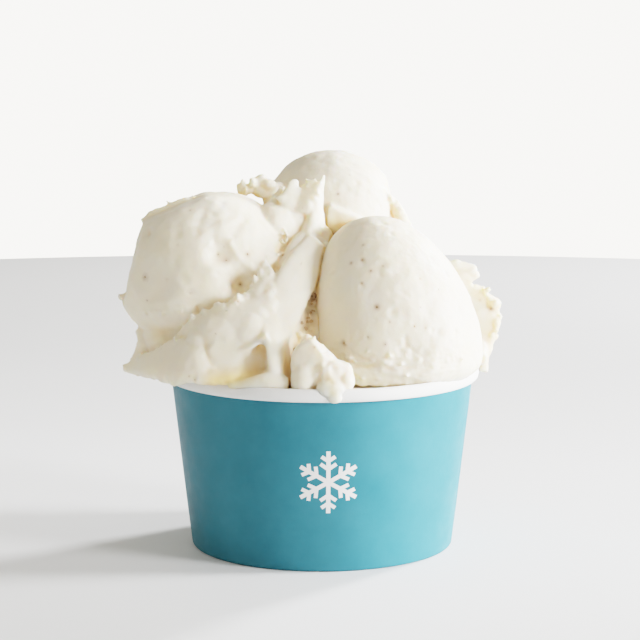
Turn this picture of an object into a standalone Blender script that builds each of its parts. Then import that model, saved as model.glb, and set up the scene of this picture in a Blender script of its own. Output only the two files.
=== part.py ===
"""A paper cup of gelato: a round cup with a rolled rim, packed with gelato and topped by three scoops.

+Z is up, the cup stands on Z = 0 and the front of the heap faces -Y. The shapes are worked out round the
cup's axis, in millimetres, and at the end the whole is moved so that the middle of its box is over the
origin, because the heap hangs out further on one side than on the other.
"""

import math

import bmesh
import bpy
from mathutils import Matrix, Vector, noise

MM = 0.001
GAP = 0.3  # clearance between two pieces that touch

# The cup: a cone of paper board, rolled outwards at the top and folded inwards at the foot.
CUP_HEIGHT = 55.4
FOOT_RADIUS = 40.1
SHOULDER_RADIUS = 46.0  # outside of the wall, just under the rolled rim
SHOULDER_HEIGHT = 51.5
BOARD = 0.5
RIM_WIDTH = 2.2
FOLD_STEPS = 3
RIM_STEPS = 7
RIM_END_DEGREES = -100.0  # where the roll stops, short of the wall
FLOOR_BOARD = 0.4
FLOOR_HEIGHT = 6.0
FLANGE_FOOT = 1.6  # where the floor's turned-down edge ends
HEM_HEIGHT = 5.2
CUP_SIDES = 56

# The gelato packed into the cup, up to just under the rim.
BED_TOP = 53.6
BED_SWELL = 0.9

# How finely the scoops are fused, and how many triangles each keeps.
VOXEL = 1.0
SOFTEN_STEPS = 5
EVEN_OUT_STEPS = 2
TRIANGLES = {"scoop_left": 3000, "scoop_right": 1900, "scoop_back": 2200, "front_lump": 480}
RUFFLE = 0.35  # uneven surface, in millimetres
RUFFLE_LENGTH = 7.0
PRESSED_IN = 0.85  # share of a ball beyond a flat that is pressed in
CUT_ALLOWANCE = 1.25  # a cut reaches a little past GAP, as its faces are slanted


def clear_scene():
    for obj in list(bpy.data.objects):
        bpy.data.objects.remove(obj, do_unlink=True)


def paint(obj, name, colour, roughness):
    """Give the object its own Principled material."""
    material = bpy.data.materials.new(name)
    material.use_nodes = True
    shader = material.node_tree.nodes["Principled BSDF"]
    shader.inputs["Base Color"].default_value = (*colour, 1.0)
    shader.inputs["Roughness"].default_value = roughness
    shader.inputs["Metallic"].default_value = 0.0
    material.diffuse_color = (*colour, 1.0)
    obj.data.materials.clear()
    obj.data.materials.append(material)


def put_in_scene(name, mesh):
    obj = bpy.data.objects.new(name, mesh)
    bpy.context.scene.collection.objects.link(obj)
    return obj


def object_from(name, bm):
    """Turn a bmesh in millimetres into an object in metres."""
    bmesh.ops.scale(bm, vec=(MM, MM, MM), verts=bm.verts)
    mesh = bpy.data.meshes.new(name)
    bm.to_mesh(mesh)
    bm.free()
    return put_in_scene(name, mesh)


def evaluated_mesh(obj):
    """The object's mesh with its modifiers applied."""
    graph = bpy.context.evaluated_depsgraph_get()
    return bpy.data.meshes.new_from_object(obj.evaluated_get(graph))


def apply_modifiers(obj):
    mesh = evaluated_mesh(obj)
    obj.modifiers.clear()
    obj.data = mesh


# Turned pieces: the cup, its floor and the packed gelato


def turned(name, outline, closed):
    """Spin an outline of (radius, height) points round Z; an open one starts and ends on the axis."""
    bm = bmesh.new()
    verts = [bm.verts.new((radius, 0.0, height)) for radius, height in outline]
    pairs = list(zip(verts, verts[1:]))
    if closed:
        pairs.append((verts[-1], verts[0]))
    edges = [bm.edges.new(pair) for pair in pairs]
    bmesh.ops.spin(
        bm,
        geom=verts + edges,
        cent=(0, 0, 0),
        axis=(0, 0, 1),
        angle=math.tau,
        steps=CUP_SIDES,
        use_merge=True,
    )
    bmesh.ops.remove_doubles(bm, verts=bm.verts, dist=0.001)
    bmesh.ops.recalc_face_normals(bm, faces=bm.faces)
    obj = object_from(name, bm)
    obj.data.shade_smooth()
    obj.data.set_sharp_from_angle(angle=math.radians(40))
    return obj


def thickened(line, thickness):
    """The closed outline of a sheet that follows a centre line of (radius, height) points."""
    sides = ([], [])
    for i, (radius, height) in enumerate(line):
        before = Vector(line[max(i - 1, 0)])
        after = Vector(line[min(i + 1, len(line) - 1)])
        along = (after - before).normalized()
        out = Vector((along.y, -along.x)) * thickness / 2
        sides[0].append((radius + out.x, height + out.y))
        sides[1].append((radius - out.x, height - out.y))
    return sides[0] + sides[1][::-1]


def wall_radius(height):
    """Outside radius of the cup's wall at a height."""
    return FOOT_RADIUS + (SHOULDER_RADIUS - FOOT_RADIUS) * height / SHOULDER_HEIGHT


def arc(centre, radii, start, end, steps):
    """Points on an ellipse's arc, between two angles in degrees."""
    angles = [math.radians(start + (end - start) * i / steps) for i in range(steps + 1)]
    return [(centre[0] + radii[0] * math.cos(a), centre[1] + radii[1] * math.sin(a)) for a in angles]


def flange_radius():
    """Middle of the floor's turned-down edge, between the wall and its folded hem."""
    return FOOT_RADIUS - BOARD - GAP - FLOOR_BOARD / 2


def make_cup_wall():
    """One sheet: hem inside the foot, fold, cone wall, and the roll at the top."""
    wall = FOOT_RADIUS - BOARD / 2
    hem = flange_radius() - FLOOR_BOARD / 2 - GAP - BOARD / 2
    fold_radius = (wall - hem) / 2
    lowest = (fold_radius + BOARD / 2) * math.cos(math.pi / FOLD_STEPS / 2)
    fold_line = arc(((wall + hem) / 2, lowest), (fold_radius, fold_radius), 180, 360, FOLD_STEPS)
    roll = ((RIM_WIDTH - BOARD) / 2, (CUP_HEIGHT - SHOULDER_HEIGHT - BOARD) / 2)
    roll_height = CUP_HEIGHT - BOARD / 2 - roll[1]
    roll_centre = (wall_radius(roll_height) - BOARD / 2 + roll[0], roll_height)
    rim = arc(roll_centre, roll, 180, RIM_END_DEGREES, RIM_STEPS)
    line = [(hem, HEM_HEIGHT), *fold_line, *rim]
    return turned("cup_wall", thickened(line, BOARD), closed=True)


def make_cup_floor():
    """A disc with its edge turned down between the wall and the hem."""
    half = FLOOR_BOARD / 2
    edge = flange_radius()
    outline = [
        (0.0, FLOOR_HEIGHT + half),
        (edge - half, FLOOR_HEIGHT + half),
        (edge + half, FLOOR_HEIGHT - half),
        (edge + half, FLANGE_FOOT),
        (edge - half, FLANGE_FOOT),
        (edge - half, FLOOR_HEIGHT - half * 2),
        (edge - half * 2, FLOOR_HEIGHT - half),
        (0.0, FLOOR_HEIGHT - half),
    ]
    return turned("cup_floor", outline, closed=False)


def make_bed():
    """Gelato that fills the cup, with a slightly swollen top."""
    bottom = FLOOR_HEIGHT + FLOOR_BOARD / 2 + GAP

    def inside(height):
        return wall_radius(height) - BOARD - GAP

    top = [
        (inside(BED_TOP) * share, BED_TOP + BED_SWELL * (1 - share * share))
        for share in (0.97, 0.8, 0.5, 0.0)
    ]
    outline = [(0.0, bottom), (inside(bottom), bottom), (inside(BED_TOP - 1), BED_TOP - 1), *top]
    return turned("gelato_bed", outline, closed=False)


# Gelato shapes: domes and folds, which are then fused


def dome(centre, radii, under=None, lean=0.0, flats=(), dents=()):
    """A scooped ball. under is its radius below the centre, and lean shifts its top along X. A flat is
    (direction, distance) and presses in what lies beyond; a dent is (direction, depth, width), in shares
    of the ball's size."""
    bm = bmesh.new()
    bmesh.ops.create_icosphere(bm, subdivisions=4, radius=1.0)
    for vert in bm.verts:
        way = vert.co.normalized()
        size = 1.0
        for direction, depth, width in dents:
            size -= depth * math.exp(-((way.angle(Vector(direction)) / width) ** 2))
        tall = under if under and way.z < 0 else radii[2]
        place = Vector((way.x * radii[0], way.y * radii[1], way.z * tall)) * size
        rise = max(way.z, 0.0)
        place.x += lean * rise ** 1.5
        for direction, distance in flats:
            normal = Vector(direction).normalized()
            over = place.dot(normal) - distance
            if over > 0:
                place -= normal * over * PRESSED_IN
        vert.co = place + Vector(centre)
    return object_from("dome", bm)


def spline(values, share):
    """A point at a share of the way along a smooth curve through the values."""
    at = share * (len(values) - 1)
    i = min(int(at), len(values) - 2)
    t = at - i
    a, b, c, d = (
        Vector(values[min(max(k, 0), len(values) - 1)]) for k in (i - 1, i, i + 1, i + 2)
    )
    square = 2 * a - 5 * b + 4 * c - d
    cube = 3 * b - a - 3 * c + d
    return 0.5 * (2 * b + (c - a) * t + square * t ** 2 + cube * t ** 3)


def fold(stations, face, keen=0.0, sides=14, spacing=2.0):
    """A lip of gelato along a curve. A station is (x, y, z, half width, half thickness), and face is the
    way its broad side looks. keen thins one long edge, the other one where it is negative."""
    places = [station[:3] for station in stations]
    sizes = [station[3:] + (0.0,) for station in stations]
    length = sum((Vector(b) - Vector(a)).length for a, b in zip(places, places[1:]))
    steps = max(int(length / spacing), 4)
    bm = bmesh.new()
    rings = []
    for i in range(steps + 1):
        share = i / steps
        near = spline(places, max(share - 0.02, 0.0))
        far = spline(places, min(share + 0.02, 1.0))
        along = (far - near).normalized()
        across = along.cross(Vector(face)).normalized()
        normal = across.cross(along).normalized()
        half_width, half_thickness, _ = spline(sizes, share)
        frame = Matrix((across, normal, along)).transposed().to_4x4()
        frame.translation = spline(places, share)
        ring = bmesh.ops.create_circle(bm, cap_ends=i in (0, steps), segments=sides, radius=1.0)["verts"]
        for vert in ring:
            thin = 1 - abs(keen) * (1 + math.copysign(vert.co.x, keen * vert.co.x)) / 2
            flatter = math.copysign(abs(vert.co.y) ** 0.75, vert.co.y)
            vert.co.x *= max(half_width, 0.3)
            vert.co.y = flatter * max(half_thickness * thin, 0.25)
            vert.co = frame @ vert.co
        rings.append(ring)
    for ring, following in zip(rings, rings[1:]):
        chosen = set(ring) | set(following)
        edges = {edge for vert in chosen for edge in vert.link_edges if edge.other_vert(vert) in chosen}
        loops = [edge for edge in edges if len(edge.link_faces) < 2]
        bmesh.ops.bridge_loops(bm, edges=loops)
    bmesh.ops.recalc_face_normals(bm, faces=bm.faces)
    return object_from("fold", bm)


def joined(name, pieces):
    """One object from several, whose meshes stay apart."""
    bm = bmesh.new()
    for piece in pieces:
        bm.from_mesh(piece.data)
        bpy.data.objects.remove(piece, do_unlink=True)
    mesh = bpy.data.meshes.new(name)
    bm.to_mesh(mesh)
    bm.free()
    return put_in_scene(name, mesh)


def ruffle(obj):
    """Move the surface in and out by a smooth noise, as gelato lies unevenly."""
    normals = [vert.normal.copy() for vert in obj.data.vertices]
    for vert, normal in zip(obj.data.vertices, normals):
        at = vert.co / (RUFFLE_LENGTH * MM)
        vert.co += normal * RUFFLE * MM * (noise.noise(at) + 0.5 * noise.noise(at * 2.3))


def soften(obj, steps):
    smooth = obj.modifiers.new("soften", "SMOOTH")
    smooth.iterations = steps
    smooth.factor = 0.4


def fused(name, pieces):
    """Melt the pieces into one skin, smooth it, ruffle it, thin its triangles and even them out."""
    obj = joined(name, pieces)
    remesh = obj.modifiers.new("melt together", "REMESH")
    remesh.mode = "VOXEL"
    remesh.voxel_size = VOXEL * MM
    soften(obj, SOFTEN_STEPS)
    apply_modifiers(obj)
    ruffle(obj)
    thin = obj.modifiers.new("thin out", "DECIMATE")
    thin.ratio = TRIANGLES[name] / (2 * len(obj.data.polygons))
    soften(obj, EVEN_OUT_STEPS)
    apply_modifiers(obj)
    return obj


def swollen(obj):
    """A copy of a solid that reaches GAP further out, to cut its neighbours with."""
    cutter = put_in_scene("cutter", obj.data.copy())
    for vert, other in zip(cutter.data.vertices, obj.data.vertices):
        vert.co = other.co + other.normal * GAP * CUT_ALLOWANCE * MM
    return cutter


def cup_clearance():
    """The space of the cup and its packed gelato, GAP larger, that the scoops stay out of."""
    rim_outside = wall_radius(SHOULDER_HEIGHT) - BOARD + RIM_WIDTH + GAP
    inside = wall_radius(BED_TOP) - BOARD - GAP
    swell = BED_TOP + BED_SWELL + GAP
    outline = [
        (0.0, -1.0),
        (wall_radius(-1.0) + GAP, -1.0),
        (wall_radius(SHOULDER_HEIGHT - 1) + GAP, SHOULDER_HEIGHT - 1),
        (rim_outside, SHOULDER_HEIGHT - 0.2),
        (rim_outside + 0.1, CUP_HEIGHT - 1.2),
        (rim_outside - 0.8, CUP_HEIGHT + GAP),
        (inside, CUP_HEIGHT + GAP),
        (inside - 0.8, BED_TOP + GAP + 0.2),
        (inside * 0.5, BED_TOP + BED_SWELL * 0.75 + GAP + 0.1),
        (0.0, swell),
    ]
    return turned("clearance", outline, closed=False)


def carve(obj, cutters):
    """Cut each cutter's space out of the object, and keep the largest piece that is left."""
    for cutter in cutters:
        cut = obj.modifiers.new("clearance", "BOOLEAN")
        cut.operation = "DIFFERENCE"
        cut.solver = "MANIFOLD"
        cut.object = cutter
    apply_modifiers(obj)
    keep_largest(obj)


def keep_largest(obj):
    bm = bmesh.new()
    bm.from_mesh(obj.data)
    bmesh.ops.remove_doubles(bm, verts=bm.verts, dist=0.00002)
    left = set(bm.verts)
    islands = []
    while left:
        island = set()
        queue = [left.pop()]
        while queue:
            vert = queue.pop()
            island.add(vert)
            near = {edge.other_vert(vert) for edge in vert.link_edges} & left
            left -= near
            queue.extend(near)
        islands.append(island)
    largest = max(islands, key=len)
    scraps = [vert for vert in bm.verts if vert not in largest]
    bmesh.ops.delete(bm, geom=scraps, context="VERTS")
    bmesh.ops.triangulate(bm, faces=bm.faces)
    bm.to_mesh(obj.data)
    bm.free()


def scoop_left_pieces():
    """The left scoop: a dome, its neck, the lip that rises between the scoops, and the skirt on the rim."""
    ball = dome(
        (-34, -3, 81),
        (28.5, 26, 28),
        under=21,
        flats=[
            ((-0.972, -0.05, 0.235), 23.6),
            ((-0.372, -0.05, 0.928), 25.2),
            ((0, 0, 1), 26.8),
            ((-0.817, 0, -0.576), 25.0),
            ((-0.5, -0.85, 0.1), 25.6),
        ],
        dents=[((0.36, -0.92, 0.10), 0.22, 0.16), ((0.16, -0.89, 0.42), 0.07, 0.13)],
    )
    necks = [
        dome((-29, 3, 63), (21, 22, 17)),
        dome((-41.5, -6, 66), (13.5, 14, 11)),
        dome((-26.5, -26, 61.5), (8.0, 11, 10)),
        dome((-34.5, -21, 61), (6.5, 9.5, 9)),
        dome((-18, -25, 62), (7, 8, 10)),
        dome((-14.5, -5.5, 97), (9.0, 8.0, 8.0)),
    ]
    ridge = fold(
        [
            (1.4, -5, 97.0, 2.8, 2.0),
            (-1.4, -9, 94.0, 5.4, 2.8),
            (-5.0, -14, 89.5, 6.6, 3.4),
            (-8.2, -20, 82.5, 6.8, 3.6),
            (-10.6, -25, 76.2, 7.4, 4.0),
            (-12.6, -30, 69.5, 6.0, 4.0),
            (-12.8, -35, 63.0, 3.6, 4.2),
            (-12.6, -39, 57.0, 3.0, 3.6),
            (-12.6, -41, 54.0, 2.4, 2.8),
        ],
        face=(0.5, -0.65, 0.5),
        keen=-0.4,
    )
    blade = fold(
        [
            (0.6, -3.5, 113.6, 0.6, 0.5),
            (-0.6, -4.5, 109.0, 1.5, 1.1),
            (-1.6, -6, 103.0, 2.6, 1.8),
            (-2.4, -9, 96.0, 4.2, 3.0),
            (-5.0, -12, 89.0, 4.0, 3.4),
        ],
        face=(0.6, -0.75, 0.2),
        keen=-0.4,
    )
    flap = fold(
        [
            (-42.6, -24, 66.6, 1.6, 1.4),
            (-36.5, -29.5, 70.4, 4.0, 2.4),
            (-29.5, -33, 73.0, 5.2, 2.8),
            (-23.0, -33.5, 74.6, 6.0, 3.2),
            (-18.6, -31.5, 77.8, 5.4, 3.2),
            (-17.2, -27.5, 82.5, 3.6, 2.6),
            (-15.8, -23, 87.5, 2.0, 1.8),
        ],
        face=(-0.25, -0.93, 0.25),
        keen=-0.6,
    )
    lobe = fold(
        [
            (-60.0, -7, 54.8, 0.7, 0.7),
            (-55.5, -13, 56.6, 2.8, 2.0),
            (-49.5, -22, 58.8, 4.8, 2.6),
            (-43.5, -29.5, 61.0, 6.8, 3.0),
            (-38.0, -34.5, 60.8, 6.4, 3.2),
            (-33.0, -37, 58.0, 3.2, 2.8),
            (-25.5, -38, 57.6, 2.4, 2.4),
            (-19.0, -38.8, 57.0, 1.8, 2.0),
        ],
        face=(-0.45, -0.8, 0.4),
        keen=-0.35,
    )
    recess_lip = fold(
        [(-24, -35.5, 67.0, 2.0, 2.0), (-19.5, -37, 67.8, 2.2, 2.0), (-15, -37, 69.8, 2.6, 2.4)],
        face=(-0.1, -0.9, 0.4),
    )
    left_tatters = fold(
        [
            (-55.0, -9, 67.5, 1.6, 1.4),
            (-53.6, -11, 63.5, 2.0, 1.6),
            (-54.4, -10, 60.5, 2.4, 1.6),
            (-55.0, -10, 57.0, 2.6, 2.0),
        ],
        face=(-0.4, -0.9, 0.1),
    )
    petals = [
        fold(
            [(-9.8, -7, 102.0, 3.6, 1.8), (-9.4, -6, 106.5, 3.6, 1.3), (-8.0, -4.5, 112.4, 0.6, 0.6)],
            face=(0.3, -0.9, 0.2),
        ),
        fold(
            [(-6.8, -7, 102.5, 2.6, 1.6), (-4.2, -5.5, 107.5, 3.2, 1.2), (-2.4, -4.0, 111.8, 2.8, 0.7)],
            face=(-0.45, -0.85, 0.1),
        ),
        fold(
            [(-14.0, -5, 101.0, 3.6, 2.0), (-13.2, -4, 106.0, 2.6, 1.2), (-12.2, -3, 109.4, 0.8, 0.7)],
            face=(0.5, -0.8, 0.1),
        ),
        dome((-10, -5, 99.5), (6.5, 5.5, 4.5)),
    ]
    back_cheek = dome((-27, 22, 66), (19, 13, 16), flats=[((-0.4, 0.9, 0.1), 11.0)])
    back_flap = fold(
        [
            (-14, 20, 97, 1.6, 1.4),
            (-19, 24, 90, 4.4, 2.6),
            (-25, 27, 83, 6.4, 3.4),
            (-33, 25, 76, 6.8, 3.4),
            (-42, 18, 71, 5.0, 3.0),
            (-50, 9, 68, 2.0, 1.8),
        ],
        face=(-0.3, 0.9, 0.3),
        keen=0.6,
    )
    back_skirt = fold(
        [
            (-58.5, 0, 56.5, 0.8, 0.8),
            (-53.0, 9, 58.4, 3.6, 2.2),
            (-45.0, 20, 60.0, 6.2, 3.0),
            (-36.0, 29, 60.6, 7.0, 3.6),
            (-27.0, 35, 59.6, 5.4, 3.4),
            (-19.0, 39, 57.8, 2.6, 2.4),
        ],
        face=(-0.6, 0.7, 0.4),
        keen=0.4,
    )
    front = [ridge, blade, flap, lobe, recess_lip, left_tatters, *petals]
    return [ball, *necks, *front, back_cheek, back_flap, back_skirt]


def scoop_right_pieces():
    """The right scoop: a tall dome that leans left, with ragged flakes of gelato down its right side."""
    ball = dome(
        (22, -12, 60),
        (26.4, 27, 42),
        under=11,
        lean=-6.2,
        flats=[((0.15, -0.98, 0.12), 26.0)],
    )
    heart = dome((21, -8, 60), (20, 22, 14))
    flake = fold(
        [
            (39.0, 0, 80.5, 1.6, 1.4),
            (44.0, 1, 78.0, 2.8, 1.8),
            (49.0, 2, 73.5, 4.4, 2.0),
            (50.6, 2, 68.0, 4.4, 2.0),
            (50.2, 1, 62.5, 2.8, 1.8),
            (49.6, 0, 57.0, 1.9, 1.6),
            (49.2, -1.5, 53.0, 1.5, 1.3),
        ],
        face=(0.2, -0.95, 0.1),
        keen=0.4,
    )
    curls = [
        fold(
            [
                (35.5, 0.0, 85.5, 1.2, 1.0),
                (40.5, 1.0, 85.6, 1.6, 1.2),
                (45.5, 1.5, 83.8, 1.8, 1.3),
                (46.6, 1.5, 81.4, 1.6, 1.2),
            ],
            face=(0.0, -0.9, 0.4),
        ),
        dome((41.5, 1, 81.5), (4.6, 2.2, 2.4)),
        dome((52.4, 2.6, 73.4), (2.6, 1.8, 2.2)),
    ]
    foot = fold(
        [
            (1.0, -32, 57.2, 2.4, 2.2),
            (10, -36.8, 57.6, 2.8, 2.2),
            (21, -36.8, 58.0, 3.2, 2.4),
            (32, -32.0, 58.0, 3.2, 2.4),
            (41, -22, 58.0, 3.2, 2.4),
        ],
        face=(0.1, -0.9, 0.3),
    )
    back_cheek = dome((30, 10, 62), (16, 15, 17), flats=[((0.7, 0.7, 0.2), 14.0)])
    back_skirt = fold(
        [
            (48.5, -7, 57.6, 2.0, 2.0),
            (48.5, 4, 59.4, 4.4, 2.8),
            (43.5, 16, 61.0, 6.4, 3.4),
            (37.5, 25, 60.0, 5.0, 3.4),
            (33.0, 30, 58.0, 3.0, 2.8),
        ],
        face=(0.8, 0.5, 0.3),
        keen=0.4,
    )
    return [ball, heart, flake, *curls, foot, back_cheek, back_skirt]


def scoop_back_pieces():
    """The back scoop: a smaller dome set higher, on a broad neck, with its own skirt at the back."""
    ball = dome((3, 20, 97.5), (22.0, 21.5, 22.0), flats=[((0.99, -0.05, 0.1), 18.6)])
    neck = dome((2, 17, 74), (20, 23, 27))
    right_flake = fold(
        [
            (19.5, 11, 106.5, 1.4, 1.0),
            (22.8, 11, 102.5, 2.4, 1.6),
            (25.0, 11, 96.0, 3.6, 2.6),
            (28.0, 13, 85.0, 5.0, 3.6),
            (32.0, 16, 70.0, 5.6, 4.0),
            (33.0, 20, 58.0, 5.0, 4.0),
        ],
        face=(0.8, 0.3, 0.3),
    )
    facet = fold(
        [
            (1.0, -3.0, 104.0, 1.6, 1.4),
            (4.5, -4.5, 101.0, 3.8, 2.4),
            (8.5, -4.0, 99.2, 3.6, 2.2),
            (12.5, -2.0, 97.5, 2.2, 1.8),
        ],
        face=(0.1, -0.9, 0.4),
    )
    crumbs = [
        dome((-18.6, 7, 108.0), (3.2, 3.0, 2.5)),
        dome((-23.0, 6, 108.2), (2.2, 1.8, 1.4)),
        dome((-15.0, 9, 106.0), (3.4, 3.6, 4.2)),
    ]
    back_skirt = fold(
        [
            (-21, 36, 58.0, 2.0, 2.0),
            (-12, 41.5, 60.4, 5.6, 3.2),
            (0, 44, 62.4, 8.0, 3.8),
            (11, 43.5, 61.6, 7.0, 3.6),
            (22, 39.5, 59.4, 4.4, 3.2),
            (31, 33.5, 57.6, 2.2, 2.0),
        ],
        face=(0.1, 0.9, 0.45),
        keen=0.45,
    )
    back_flap = fold(
        [
            (22, 30, 92, 1.2, 1.2),
            (16, 36.5, 86, 4.6, 2.4),
            (7, 40.5, 80, 7.0, 3.2),
            (-4, 40.0, 75, 7.4, 3.4),
            (-14, 34.5, 71, 5.4, 3.0),
            (-21, 27, 68, 2.6, 2.0),
        ],
        face=(0.1, 0.93, 0.25),
        keen=0.6,
    )
    return [ball, neck, right_flake, facet, *crumbs, back_skirt, back_flap]


def front_lump_pieces():
    """A torn-off lump of gelato that hangs over the rim at the front."""
    return [
        dome((-3.0, -41.0, 62.0), (5.6, 4.6, 6.6), flats=[((-0.6, -0.8, 0.1), 4.0), ((0.5, -0.8, 0.3), 3.8)]),
        dome((1.2, -41.6, 60.4), (5.4, 4.4, 5.6), flats=[((0.2, -0.9, 0.35), 3.0)]),
        dome((3.8, -43.0, 59.6), (4.6, 4.4, 4.6), flats=[((0.4, -0.85, 0.3), 3.4)]),
        dome((6.8, -44.2, 57.2), (2.6, 2.8, 3.4)),
        dome((-5.2, -42.6, 57.2), (3.6, 4.6, 5.0)),
        dome((-4.2, -38.8, 67.0), (2.0, 2.2, 3.2)),
        dome((2.4, -46.6, 55.0), (4.0, 2.2, 3.2)),
        dome((3.6, -47.6, 52.9), (2.0, 1.4, 1.6)),
    ]


def make_gelato():
    """The three scoops and the lump, each carved clear of the cup and of the ones made before it."""
    gelato = (0.93, 0.90, 0.82)
    clearance = cup_clearance()
    made = []
    makers = {
        "scoop_left": scoop_left_pieces,
        "scoop_right": scoop_right_pieces,
        "scoop_back": scoop_back_pieces,
        "front_lump": front_lump_pieces,
    }
    for name, pieces in makers.items():
        scoop = fused(name, pieces())
        neighbours = [swollen(other) for other in made]
        carve(scoop, [clearance, *neighbours])
        for cutter in neighbours:
            bpy.data.objects.remove(cutter, do_unlink=True)
        paint(scoop, name, gelato, 0.55)
        scoop.data.shade_smooth()
        made.append(scoop)
    bpy.data.objects.remove(clearance, do_unlink=True)


def stand_on_origin():
    """Move everything so that the middle of the model's footprint box is the origin."""
    bpy.context.view_layer.update()
    pieces = list(bpy.context.scene.objects)
    corners = [piece.matrix_world @ vert.co for piece in pieces for vert in piece.data.vertices]
    low = Vector([min(corner[i] for corner in corners) for i in range(3)])
    high = Vector([max(corner[i] for corner in corners) for i in range(3)])
    shift = Vector((-(low.x + high.x) / 2, -(low.y + high.y) / 2, -low.z))
    for piece in pieces:
        piece.location = shift


def main():
    clear_scene()
    paint(make_cup_wall(), "teal board", (0.06, 0.30, 0.36), 0.6)
    paint(make_cup_floor(), "white board", (0.88, 0.88, 0.86), 0.55)
    paint(make_bed(), "packed gelato", (0.93, 0.90, 0.82), 0.55)
    make_gelato()
    stand_on_origin()


main()
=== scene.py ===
# %% [markdown]
# A paper cup of gelato, dressed for its portrait
#
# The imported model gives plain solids: the paper cup with its rolled rim and recessed floor, the gelato
# packed into it, three scoops heaped on top and a lump that hangs over the rim. They set every size and
# place. What follows makes the surfaces: thin printed board with its glued seam, and gelato that was torn
# and smeared by a flat spade. Everything is worked out in millimetres round the cup's own axis, and moved
# and scaled to the model's frame as each mesh is finished, so that no object has to be placed afterwards.

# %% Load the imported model
import math
import random

import bmesh
import bpy
import numpy as np
from mathutils import Matrix, Vector, noise
from mathutils.bvhtree import BVHTree


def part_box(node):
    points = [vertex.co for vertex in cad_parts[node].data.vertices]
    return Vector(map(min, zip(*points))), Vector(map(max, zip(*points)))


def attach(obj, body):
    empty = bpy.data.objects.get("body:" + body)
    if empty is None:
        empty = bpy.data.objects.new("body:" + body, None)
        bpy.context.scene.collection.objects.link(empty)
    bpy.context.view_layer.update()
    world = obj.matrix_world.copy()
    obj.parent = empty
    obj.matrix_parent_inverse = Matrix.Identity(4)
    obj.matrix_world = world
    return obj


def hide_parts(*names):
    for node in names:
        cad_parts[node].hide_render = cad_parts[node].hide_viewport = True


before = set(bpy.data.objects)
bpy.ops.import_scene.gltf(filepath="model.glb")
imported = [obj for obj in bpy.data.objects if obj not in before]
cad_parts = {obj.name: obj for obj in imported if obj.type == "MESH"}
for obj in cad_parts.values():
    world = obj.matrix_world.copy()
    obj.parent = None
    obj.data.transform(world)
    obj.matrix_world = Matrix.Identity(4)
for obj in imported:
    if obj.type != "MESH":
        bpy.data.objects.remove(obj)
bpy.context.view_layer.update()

MM = 0.001
low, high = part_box("cup_wall")
AXIS = Vector(((low.x + high.x) / 2, (low.y + high.y) / 2, 0.0))
print("cup axis at", [round(value / MM, 2) for value in AXIS[:2]], "mm")

# %% [markdown]
# Camera
#
# The photograph was taken from a little above the heap with a long lens: the rim shows as a flat ellipse,
# and the cup's sides hardly converge. A lens of 125 mm from about two thirds of a metre gives that. The
# camera is placed from the cup's axis, so it keeps its view if the model shifts. Both the gelato in full
# light and its warm shade have to keep their drawing, so the picture is developed like film, with
# highlights that roll off softly; the plain transform would burn them out.

# %% Camera
CAMERA_BACK = 0.673
CAMERA_SIDE = -0.0006
CAMERA_HEIGHT = 0.164
CAMERA_DOWN = math.radians(8.05)
LENS = 125.03  # millimetres, on a sensor 36 mm wide


def link(obj):
    """Put an object into the scene."""
    bpy.context.scene.collection.objects.link(obj)
    return obj


camera = link(bpy.data.objects.new("camera", bpy.data.cameras.new("camera")))
camera.data.sensor_width = 36.0
camera.data.lens = LENS
camera.data.clip_start = 0.01
camera.location = AXIS + Vector((CAMERA_SIDE, -CAMERA_BACK, CAMERA_HEIGHT))
camera.rotation_euler = (math.pi / 2 - CAMERA_DOWN, 0.0, 0.0)
bpy.context.scene.camera = camera
bpy.context.scene.view_settings.view_transform = "Filmic"
bpy.context.scene.view_settings.look = "Medium High Contrast"
print("camera", round(camera.location.z, 3), "m up,", LENS, "mm lens")

# %% [markdown]
# Table and light
#
# The cup stands on a pale table in front of a bright wall. A round table top is enough: its far edge
# draws the soft line behind the cup. The wall is the world's background, near white where the camera sees
# it and much softer as a light. A small box behind the cup on the right throws the slanting shadow to the
# front left. A low one on the right, with a narrow beam like a gap between curtains, rakes over the heap
# and makes the cup's right side glow. A weak reflector to the right of the camera reaches the lip between
# the scoops, which the right scoop would hide from the window. The left side stays in a soft, warm shade.

# %% Helper for meshes
ORIGIN = Vector((0, 0, 0))


def mesh_object(name, bm, scale=MM, place=AXIS):
    """Turn a bmesh in millimetres round the cup's axis into an object in the model's frame."""
    bmesh.ops.scale(bm, vec=(scale, scale, scale), verts=bm.verts)
    bmesh.ops.translate(bm, vec=place, verts=bm.verts)
    mesh = bpy.data.meshes.new(name)
    bm.to_mesh(mesh)
    bm.free()
    return link(bpy.data.objects.new(name, mesh))


# %% Helpers for materials


def principled(name, colour, roughness, **sockets):
    """A material with one Principled shader, its tree and the shader."""
    material = bpy.data.materials.new(name)
    material.use_nodes = True
    tree = material.node_tree
    shader = tree.nodes["Principled BSDF"]
    shader.inputs["Base Color"].default_value = (*colour, 1.0)
    shader.inputs["Roughness"].default_value = roughness
    for socket, value in sockets.items():
        shader.inputs[socket.replace("_", " ")].default_value = value
    return material, tree, shader


def add(tree, kind, settings=None, **sockets):
    """A node with its settings and its sockets, which take a value or another node's output."""
    node = tree.nodes.new(kind)
    for name, value in (settings or {}).items():
        setattr(node, name, value)
    for name, value in sockets.items():
        socket = node.inputs[name.replace("_", " ")]
        if isinstance(value, bpy.types.NodeSocket):
            tree.links.new(value, socket)
        else:
            socket.default_value = value
    return node


def object_noise(tree, scale, detail=2.0, roughness=0.5):
    """Noise on object coordinates; scale counts its waves in a metre."""
    where = add(tree, "ShaderNodeTexCoord").outputs["Object"]
    made = add(tree, "ShaderNodeTexNoise", Vector=where, Scale=scale, Detail=detail, Roughness=roughness)
    return made.outputs["Fac"]


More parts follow.
